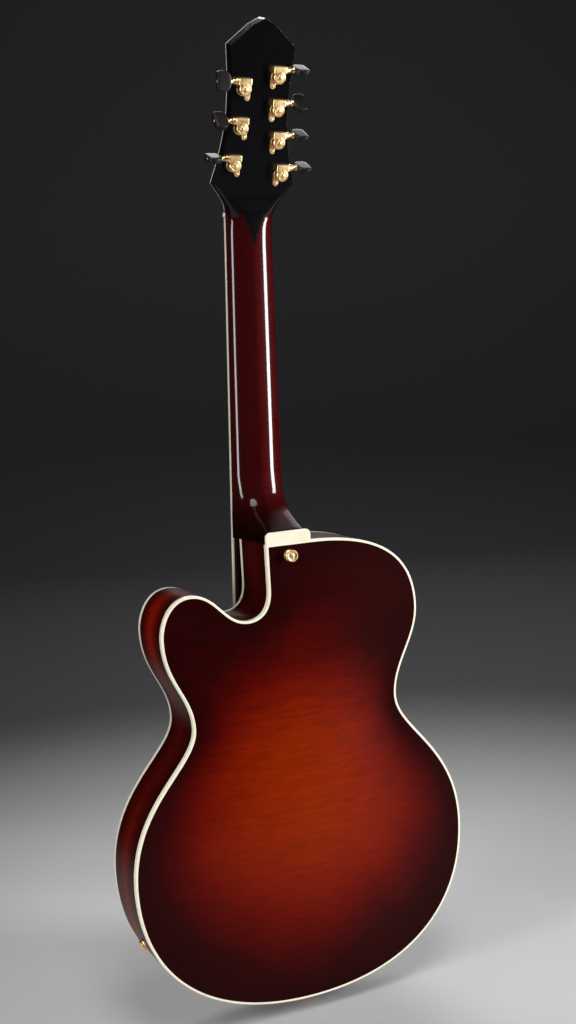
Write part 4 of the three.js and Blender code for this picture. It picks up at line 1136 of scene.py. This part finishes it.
def make_housing(i, x, s, side):
    place = tuner_frame(x, s)
    outwards = along_axis((0, 0, 0), (side, 0, 0))
    upright = place @ along_axis((0, 0, 0), BACKWARDS)
    nodes = [f"tuner_housing_{i}"]
    build(f"tuner_dome_{i}", turned(HOUSING, 48), "gold_metal", place=upright, nodes=nodes)
    low, high = sorted((side * -7.3, side * 7.8))
    arm = brick((low, 0.3, 3.4), (high, 9.0, 11.6))
    bevel(build(f"tuner_arm_{i}", arm, "gold_metal", place=place), 1.5, 4)
    worm = place @ Matrix.Translation((0, WORM_OUT, WORM_RISE)) @ outwards
    build(f"tuner_sleeve_{i}", turned(SLEEVE, 32), "gold_metal", place=worm)
    ear_x = side * EAR_X
    pad = arc(ear_x, -9.6, EAR_HALF, 180, 360, 12) + [(ear_x + EAR_HALF, -3), (ear_x - EAR_HALF, -3)]
    bevel(build(f"tuner_ear_{i}", prism(pad, 0.3, 1.7), "gold_metal", place=place), 0.4, 2)
    screw(f"tuner_screw_{i}", place @ along_axis((ear_x, 1.7, -9.8), BACKWARDS), 1.7)
    front = -HEAD_CORE - OVERLAY - 0.9
    collar = joined([turned(WASHER, 40), turned(BARREL, 32)])
    facing = place @ along_axis((0, front + 0.6, 0), FORWARDS)
    build(f"tuner_bushing_{i}", collar, "gold_metal", place=facing)
    nut = prism(hexagon(6.6), front - 2.4, front - 0.3)
    bevel(build(f"tuner_nut_{i}", nut, "gold_metal", place=place), 0.4, 2)


def squared(value, reach):
    return math.copysign(abs(value) ** BUTTON_SQUARENESS, value) * reach


def make_key(i, x, s, side, turn):
    """The shaft with its flared collar, and the button as a thick rounded paddle."""
    body = f"tuner_key_{i}"
    spin = Matrix.Rotation(math.radians(turn), 4, "X")
    place = tuner_frame(x, s) @ Matrix.Translation((0, WORM_OUT, WORM_RISE)) @ spin
    outwards = place @ along_axis((0, 0, 0), (side, 0, 0))
    build(f"tuner_shaft_{i}", turned(WORM_SHAFT, 28), "gold_metal", body, outwards)
    angles = [2 * math.pi * k / 40 for k in range(40)]
    loops = []
    for out, tall, thick in BUTTON:
        loops.append([(side * out, squared(math.cos(a), thick), squared(math.sin(a), tall)) for a in angles])
    build(f"button_{i}", skin(loops), "tuner_button", body, place, [f"tuner_button_{i}"], 45)
    end = place @ along_axis((side * 31.9, 0, 0), (side, 0, 0))
    screw(f"button_screw_{i}", end @ Matrix.Scale(0.7, 4, (0, 0, 1)), 1.5, body)


def make_post(i, x, s, side):
    body = f"string_post_{i}"
    place = tuner_frame(x, s) @ along_axis((0, 2.2, 0), FORWARDS)
    r = POST_RADIUS
    profile = [(0, -4.4), (4.6, -4.4), (4.6, 0), (r, 0), (r, 27.2), (r * 0.86, 28.4), (r * 0.77, 30)]
    profile += [(r * 0.86, 32), (r, 33.2), (r, 35), (r * 0.86, 35.8), (0, 36)]
    build(f"string_post_{i}", turned(profile, 32), "gold_metal", body, place, [f"tuner_post_{i}"])
    radius = STRINGS[i - 1] / 2
    turns = 2 if i < 3 else 4
    top = -OVERLAY - 7.5 - radius
    out = r + 0.6 + radius
    path = []
    for k in range(turns * COIL_STEPS + 1):
        angle = 2 * math.pi * k / COIL_STEPS
        rise = 2.05 * radius * k / COIL_STEPS
        path.append(head_point(x - side * out * math.cos(angle), top + rise, s - 0.5 - out * math.sin(angle)))
    build(f"string_coil_{i}", pipe(path, radius, 8), "bronze" if i <= WOUND else "steel", body)


def make_tuners():
    for i, (x, s, side, turn) in enumerate(TUNERS, 1):
        make_housing(i, x, s, side)
        make_key(i, x, s, side, turn)
        make_post(i, x, s, side)


# ---------------------------------------------------------------- strings
def string_x(i, span):
    return -span / 2 + span * i / (len(STRINGS) - 1)


def make_strings():
    """Each string is two lengths that meet at the saddle."""
    for i, diameter in enumerate(STRINGS):
        r = diameter / 2
        anchor = Vector((string_x(i, TAILPIECE_SPREAD), ANCHOR_Y, TAILPIECE_TOP + 0.5))
        saddle = neck_point(string_x(i, SADDLE_SPREAD), -BOARD - 4.7, -SCALE) + Vector((0, -r, 0))
        nut = neck_point(string_x(i, NUT_SPREAD), -BOARD - 1.7, 2.5) + Vector((0, -r, 0))
        x, s, side, _ = TUNERS[i]
        post = head_point(x - side * (POST_RADIUS + 0.6 + r), -OVERLAY - 7.5 - r, s - 0.5)
        kind = "bronze" if i < WOUND else "steel"
        inner = [anchor.lerp(saddle, t) for t in np.linspace(0, 1, 7)]
        outer = [saddle.lerp(nut, t) for t in np.linspace(0, 1, 25)]
        outer += [nut.lerp(post, t) for t in np.linspace(0, 1, 9)][1:]
        tail = build(f"string_tail_{i + 1}", pipe(inner, r, 10), kind, None, soft=50)
        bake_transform(tail)
        nodes = [f"string_{i + 1}"]
        main = build(f"string_long_{i + 1}", pipe(outer, r, 10), kind, None, nodes=nodes, soft=50)
        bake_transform(main)


# ---------------------------------------------------------------- bridge
DISC = [(2.3, 0), (8.3, 0), (9, 0.35), (9, 2.25), (8.3, 2.6), (2.3, 2.6)]
THREAD_PITCH = 0.7


def make_bridge():
    """A two-footed base shaped to the front, its threaded studs, the wheels on them and the saddle."""
    top = -62.0
    loops = []
    for x in np.linspace(-BRIDGE_HALF, BRIDGE_HALF, 61):
        wide = 6.4 - 1.6 * (abs(x) / BRIDGE_HALF) ** 2
        crest = top + 4 * max(0, (abs(x) - 56) / 18) ** 1.6
        surface = front_at(x, BRIDGE_Z)
        gap = surface - 4.2 + 4.0 * min(1, max(0, (abs(x) - 17) / 7)) ** 0.5
        foot = min(gap, surface - 0.15)
        section = [(-wide, foot), (-wide, crest + 1.6), (-wide + 1.5, crest + 0.3), (0, crest)]
        section += [(wide - 1.5, crest + 0.3), (wide, crest + 1.6), (wide, foot)]
        loops.append([(x, y, BRIDGE_Z + z) for z, y in section])
    build("bridge_base_wood", skin(loops), "ebony", nodes=["bridge_base"])

    loops = []
    for x in np.linspace(-SADDLE_HALF, SADDLE_HALF, 77):
        rise = SADDLE_TOP + 6 * max(0, (abs(x) - 46) / 11) ** 1.3 + 0.25
        section = [(-4, SADDLE_TOP + 9.8), (-4, rise + 2.6), (-3.2, rise + 1.5), (-0.7, rise), (0.7, rise)]
        section += [(3.2, rise + 1.5), (4, rise + 2.6), (4, SADDLE_TOP + 9.8)]
        loops.append([(x, y, BRIDGE_Z + z) for z, y in section])
    bar = build("saddle_bar", skin(loops), "ebony", "saddle", nodes=["bridge_saddle"])
    holes = [bore(along_axis((x, SADDLE_TOP + 14, BRIDGE_Z), FORWARDS), 2.4, 12.3) for x in (-STUD_X, STUD_X)]
    cut_away(bar, joined(holes))

    thread = [(0, 0)]
    for k in range(16):
        thread += [(1.65, THREAD_PITCH * k), (2.0, THREAD_PITCH * k + THREAD_PITCH / 2)]
    thread += [(1.65, 11.2), (0, 11.4)]
    for name, x in (("bass", -STUD_X), ("treble", STUD_X)):
        place = along_axis((x, -64.9, BRIDGE_Z), FORWARDS)
        disc = turned(DISC, 168, flutes=42, cut=0.03)
        build(f"wheel_{name}", disc, "gold_metal", f"wheel_{name}", place, [f"thumbwheel_{name}"], 30)
        stud = along_axis((x, top - 0.2, BRIDGE_Z), FORWARDS)
        build(f"bridge_stud_{name}", turned(thread, 24), "gold_metal", place=stud, soft=25)


# ---------------------------------------------------------------- tailpiece, pickup and guard
def make_tailpiece():
    """A flared ebony plate with a raised gold bar that holds the strings' ball ends."""
    foot = TAILPIECE_FOOT
    side = [(17 + 20 * t**2.1, foot + (TAILPIECE_TOP - foot) * t) for t in np.linspace(0, 1, 16)]
    wood = build("tailpiece_wood", prism(mirrored(side), -63.3, -55.7), "ebony", nodes=["tailpiece"])
    cut_away(wood, brick((-10.3, -70, foot - 2), (10.3, -50, foot + 9.3)))
    bevel(wood, 1.6, 4, 40)
    panel = mirrored([(x - 5, z) for x, z in side[2:-1]])
    bevel(build("tailpiece_inlay", prism(panel, -63.9, -63.0), "black_guard"), 0.4, 2, 40)
    bar = prism(rounded(-30, 160.5, 30, 167.5, 1.5, 4), -66.4, -62.8)
    bevel(build("tailpiece_bar", bar, "gold_metal"), 0.9, 3)
    collar = turned([(0, 0), (2.2, 0), (2.2, 1.0), (1.6, 1.8), (0, 1.9)], 20)
    for i in range(len(STRINGS)):
        place = along_axis((string_x(i, TAILPIECE_SPREAD), ANCHOR_Y, 167.2), (0, 0, 1))
        build(f"ball_end_{i + 1}", collar, "brass", place=place)
    for k, x in enumerate((-12.5, 12.5), 1):
        screw(f"tailpiece_screw_{k}", along_axis((x, -63.7, foot + 4), FORWARDS), 1.8)


def make_pickup():
    """A covered pickup with a slotted pole under each string, hung on the fretboard's end."""
    end = neck_point(0, 0, -BOARD_LENGTH)
    z = end.z - 20
    front = neck_point(0, -BOARD - 3.6, -BOARD_LENGTH - 20).y + 4
    cover = prism(rounded(-38, z - 15, 38, z + 15, 3.5, 5), front, front + 11)
    bevel(build("pickup_cover", cover, "gold_metal", nodes=["pickup"]), 1.3, 4, 40)
    head = turned([(0, -1), (2.2, -1), (2.2, 0.5), (1.9, 0.8), (0, 0.8)], 24)
    for i in range(len(STRINGS)):
        x = string_x(i, PICKUP_SPREAD)
        pole = build(f"pickup_pole_{i + 1}", head, "steel", place=along_axis((x, front, z), FORWARDS))
        cut_away(pole, brick((x - 3, front - 2, z - 0.3), (x + 3, front - 0.35, z + 0.3)))
    arm = brick((-8, front + 8, z + 10), (8, front + 10, end.z - 1))
    bevel(build("pickup_bracket", arm, "gold_metal"), 0.5, 2)


def make_pickguard():
    """A floating guard with a pale line round it, held off the front by two short posts."""
    edge = [(40.5, 262), (76, 262), (83, 265), (86.5, 275), (88.6, 300), (87.5, 320), (84, 340)]
    edge += [(77.5, 362), (68, 386), (57, 409), (46, 426), (42.5, 428), (40.5, 427)]
    outline = [(x, z + BASE) for x, z in zip(*smooth_line(edge, 70, 0.7))]
    guard = prism(outline, GUARD_FACE, GUARD_PLY)
    bevel(build("guard_plate", guard, "black_guard", nodes=["pickguard"]), 0.5, 2, 50)
    bevel(build("guard_ply", prism(outline, GUARD_PLY, GUARD_BACK), "ivory_trim"), 0.2, 1, 50)
    for k, (x, z) in enumerate(GUARD_POSTS, 1):
        start = GUARD_BACK - 0.3
        reach = front_at(x, z) - start
        post = [(0, 0), (2.4, 0), (2.4, reach - 3.2), (3.0, reach - 2.6)]
        post += [(3.4, reach - 1.6), (3.4, reach - 0.2), (0, reach)]
        place = along_axis((x, start, z), BACKWARDS)
        build(f"guard_post_{k}", turned(post, 28), "gold_metal", place=place)
        screw(f"guard_screw_{k}", along_axis((x, GUARD_FACE, z), FORWARDS), 2.2)


# ---------------------------------------------------------------- buttons, jack and knobs
TAIL_BUTTON = [(0, 0), (6.4, 0), (7.2, 0.5), (7.5, 1.3), (7.2, 2.1), (5.6, 3.2), (4.4, 4.6), (4.0, 6.4)]
TAIL_BUTTON += [(4.1, 8.2), (4.9, 10.0), (6.4, 11.5), (7.5, 12.4), (7.6, 13.0), (7.2, 13.5), (6.4, 13.6)]
TAIL_BUTTON += [(5.0, 13.2), (3.9, 12.5), (3.4, 12.1), (0, 12.0)]
HEEL_BUTTON = [(0, 0), (5.6, 0), (6.3, 0.4), (6.5, 1.0), (6.2, 1.7), (4.6, 2.6), (3.8, 3.6), (3.6, 4.8)]
HEEL_BUTTON += [(4.2, 6.0), (5.5, 7.2), (6.5, 7.9), (6.7, 8.4), (6.4, 8.9), (5.8, 9.0), (4.6, 8.7)]
HEEL_BUTTON += [(3.5, 8.0), (3.0, 7.6), (0, 7.5)]
KNOB = [(0, 0), (11.6, 0), (12, 0.4), (11.8, 1.3), (10.6, 2.3), (10.2, 3.2), (10.0, 11.2), (9.6, 13.0)]
KNOB += [(8.9, 13.7), (8.0, 13.9), (7.2, 13.6), (6.6, 13.1), (0, 13.1)]
KNOB_HEIGHT = 14


def make_strap_buttons():
    heel = along_axis((0, HALF_DEPTH + 0.3, HEEL_BUTTON_Z), BACKWARDS)
    tail = along_axis((0, 0, 13.6), (0, 0, -1))
    for name, profile, place in (("heel", HEEL_BUTTON, heel), ("tail", TAIL_BUTTON, tail)):
        nodes = [f"{name}_strap_button"]
        build(f"{name}_button", turned(profile, 48), "gold_metal", place=place, nodes=nodes)
        head = place @ Matrix.Translation((0, 0, profile[-1][1] + 0.3))
        screw(f"{name}_button_screw", head @ Matrix.Scale(1.2, 4, (0, 0, 1)), 2.8)
    felt = turned([(0, -0.4), (7.0, -0.4), (7.2, 0.1), (7.0, 0.5), (0, 0.5)], 40)
    build("heel_button_felt", felt, "black_guard", place=heel)


def make_jack():
    """A washer, a nut and the hollow sleeve of an output jack, square to the rim, with a black disc down its
    bore as painted shade.
    """
    out = Vector(JACK_WAY)
    place = along_axis(Vector(JACK_SPOT) + out * 0.45, out)
    washer = [(3.3, 0), (7.5, 0), (7.7, 0.5), (7.4, 1.1), (6.9, 1.3), (3.3, 1.3)]
    build("jack_washer", turned(washer, 48), "gold_metal", place=place, nodes=["output_jack"])
    nut = prism(hexagon(6.4), 1.3, 3.6, "z")
    bevel(build("jack_nut", nut, "gold_metal", place=place), 0.5, 3)
    sleeve = [(3.3, -20), (4.7, -20), (4.7, 4.0), (4.3, 4.5), (3.3, 4.5), (3.1, 2.0), (3.1, -18), (3.3, -20)]
    build("jack_sleeve", turned(sleeve, 40), "gold_metal", place=place)
    # painted shade: a black disc inside the sleeve stands for the shade deep in the jack
    dark = [(0, -1), (3.2, -1), (3.2, -3), (0, -3)]
    build("jack_painted_shade_disc", turned(dark, 24), "black_guard", place=place)


def make_knobs():
    """Two fluted knobs, each with a pale line that points where it is set."""
    disc = turned([(0, 13.0), (6.4, 13.0), (6.4, 13.45), (6.1, 13.6), (0, 13.6)], 48)
    stem = turned([(0, -8), (2.8, -8), (2.8, 1.0), (0, 1.0)], 24)
    for (x, z), name in zip(CONTROLS, ("volume", "tone")):
        body = f"{name}_control"
        low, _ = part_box(f"{name}_knob")
        place = along_axis((x, low.y / MM + KNOB_HEIGHT, z), FORWARDS)
        cap = turned(KNOB, 120, flutes=24, cut=0.035)
        build(f"{name}_cap", cap, "black_guard", body, place, [f"{name}_knob"])
        build(f"{name}_disc", disc, "gold_metal", body, place)
        line = build(f"{name}_pointer", brick((-0.5, 6.6, 12.0), (0.5, 9.6, 14.0)), "ivory_trim", body, place)
        bevel(line, 0.15, 1)
        build(f"{name}_stem", stem, "steel", body, place)


CARRIED_OVER = {  # CAD nodes whose shapes are right: their material and edge radius
    "neck_block": ("inner_wood", 0.8),
    "tail_block": ("inner_wood", 0.8),
    "tone_bar_bass": ("inner_wood", 0.8),
    "tone_bar_treble": ("inner_wood", 0.8),
    "nut": ("ivory_trim", 0.4),
    "tailpiece_hanger": ("gold_metal", 0.5),
    "truss_rod": ("steel", 0),
    "truss_rod_nut": ("brass", 0.4),
    "volume_pot": ("steel", 0.5),
    "tone_pot": ("steel", 0.5),
}


def finish_cad_nodes():
    for name, (material, width) in CARRIED_OVER.items():
        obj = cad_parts[name]
        obj.data.materials.clear()
        obj.data.materials.append(MATERIALS[material])
        if width:
            modifier = obj.modifiers.new("edges", "BEVEL")
            modifier.width, modifier.segments, modifier.limit_method = width * MM, 2, "ANGLE"
            modifier.angle_limit = math.radians(40)


# ---------------------------------------------------------------- stage, light and camera
FLOOR_LEVEL = -1.0
FLOOR_NEAR, FLOOR_FAR, FLOOR_HALF = -2600, 3200, 5500
FLOOR_COLUMNS = 12
SWEEP = 1300  # radius of the turn from floor to wall
WALL_TOP = 5200
CAMERA_AZIMUTH = math.radians(155.5)
CAMERA_ELEVATION = math.radians(7.13)
CAMERA_ROLL = math.radians(-3.31)
CAMERA_DISTANCE = 1625.6
CAMERA_TARGET = (-18.8, 0, 571.05)
CAMERA_LENS = 50.73
LIGHT_TARGET = (0, 0, 0.55)
LIGHTS = {  # the side it stands on, elevation, distance, width and height in metres, power, colour
    "strip_left": (108, 6.5, 2.3, (0.60, 1.5), 34, (1, 1, 1)),
    "strip_right": (232, 6.5, 2.3, (0.50, 1.5), 62, (1, 1, 1)),
    "key": (168, 60, 3.0, (1.3, 1.3), 38, (1, 0.97, 0.93)),
    "front_fill": (330, 35, 3.2, (2.2, 2.2), 50, (1, 1, 1)),
}
WORLD_COLOUR = (0.92, 0.95, 1.0, 1)
WORLD_STRENGTH = 0.045


def stage_material():
    """A pale grey pool of painted light round the guitar that fades to near black away from it."""
    shader = Shader("pale_floor")
    cloud = shader.noise(shader.position(), 1.5, 4)
    speck = shader.noise(shader.position(), 90, 3)
    pale = shader.ramp(cloud, [(0.3, (0.50, 0.50, 0.51)), (0.7, (0.56, 0.56, 0.57))])
    x, y, _ = shader.split(shader.position())
    reach = shader.math("SQRT", shader.plus(shader.times(x, x), shader.times(y, y)))
    # painted pool of light: pale near the guitar, near black farther out
    colour = shader.mix(shader.range(reach, 0.2, 1.5, 0.0, 1.0, True), pale, (0.045, 0.045, 0.049))
    shader.set(Base_Color=colour, Roughness=shader.spread(speck, 0.5, 0.62), Specular_IOR_Level=0.1)
    return shader.material


def make_stage():
    """A floor that rises behind the guitar, as seen by the camera, in one smooth sweep."""
    away = Vector((-math.sin(CAMERA_AZIMUTH), math.cos(CAMERA_AZIMUTH), 0))
    across = Vector((away.y, -away.x, 0))
    run = [(FLOOR_NEAR, FLOOR_LEVEL), (FLOOR_FAR, FLOOR_LEVEL)]
    for a in np.linspace(0.1, math.pi / 2, 14):
        run.append((FLOOR_FAR + SWEEP * math.sin(a), FLOOR_LEVEL + SWEEP * (1 - math.cos(a))))
    run += [(FLOOR_FAR + SWEEP, WALL_TOP)]
    points, faces = [], []
    for reach, height in run:
        for sideways in np.linspace(-FLOOR_HALF, FLOOR_HALF, FLOOR_COLUMNS):
            points.append(away * reach + across * sideways + Vector((0, 0, height)))
    for start in range(0, (len(run) - 1) * FLOOR_COLUMNS, FLOOR_COLUMNS):
        for i in range(start, start + FLOOR_COLUMNS - 1):
            faces.append((i, i + 1, i + 1 + FLOOR_COLUMNS, i + FLOOR_COLUMNS))
    mesh = bpy.data.meshes.new("floor")
    mesh.from_pydata([tuple(p * MM) for p in points], [], faces)
    floor = linked("floor", mesh)
    mesh.materials.append(stage_material())
    soften(floor, 60)


def towards(azimuth, elevation):
    """The way to a place round the guitar: azimuth 0 is the front, elevation is above the floor."""
    flat = math.cos(elevation)
    return Vector((math.sin(azimuth) * flat, -math.cos(azimuth) * flat, math.sin(elevation)))


def make_lights():
    """Rectangular or round lights that look at the guitar's middle, and a faint surround."""
    for name, (azimuth, elevation, distance, size, power, tint) in LIGHTS.items():
        light = bpy.data.lights.new(name, "AREA")
        light.shape = "DISK" if size[0] == size[1] else "RECTANGLE"
        light.size, light.size_y = size
        light.energy, light.color = power, tint
        obj = linked(name, light)
        obj.visible_camera = False
        way = towards(math.radians(azimuth), math.radians(elevation))
        obj.location = Vector(LIGHT_TARGET) + way * distance
        obj.rotation_mode = "QUATERNION"
        obj.rotation_quaternion = (-way).to_track_quat("-Z", "Y")
    world = bpy.data.worlds.new("world")
    world.use_nodes = True
    backdrop = world.node_tree.nodes["Background"]
    backdrop.inputs["Color"].default_value = WORLD_COLOUR
    backdrop.inputs["Strength"].default_value = WORLD_STRENGTH
    bpy.context.scene.world = world
    bpy.context.scene.view_settings.view_transform = "Standard"


def make_camera():
    data = bpy.data.cameras.new("camera")
    data.lens, data.sensor_width, data.sensor_fit = CAMERA_LENS, 36, "AUTO"
    data.clip_start, data.clip_end = 0.05, 50
    camera = linked("camera", data)
    back = towards(CAMERA_AZIMUTH, CAMERA_ELEVATION)
    right = (-back).cross(Vector((0, 0, 1))).normalized()
    up = right.cross(-back).normalized()
    x = right * math.cos(CAMERA_ROLL) + up * math.sin(CAMERA_ROLL)
    y = up * math.cos(CAMERA_ROLL) - right * math.sin(CAMERA_ROLL)
    turn = Matrix((x, y, back)).transposed().to_4x4()
    camera.matrix_world = Matrix.Translation((Vector(CAMERA_TARGET) + back * CAMERA_DISTANCE) * MM) @ turn
    bpy.context.scene.camera = camera


# ---------------------------------------------------------------- the whole guitar
make_camera()
make_lights()
make_stage()
make_body()
make_heel_cap()
make_neck()
make_head()
make_fretboard()
make_tuners()
make_strings()
make_bridge()
make_tailpiece()
make_pickup()
make_pickguard()
make_strap_buttons()
make_jack()
make_knobs()
finish_cad_nodes()
keep_flats_flat()
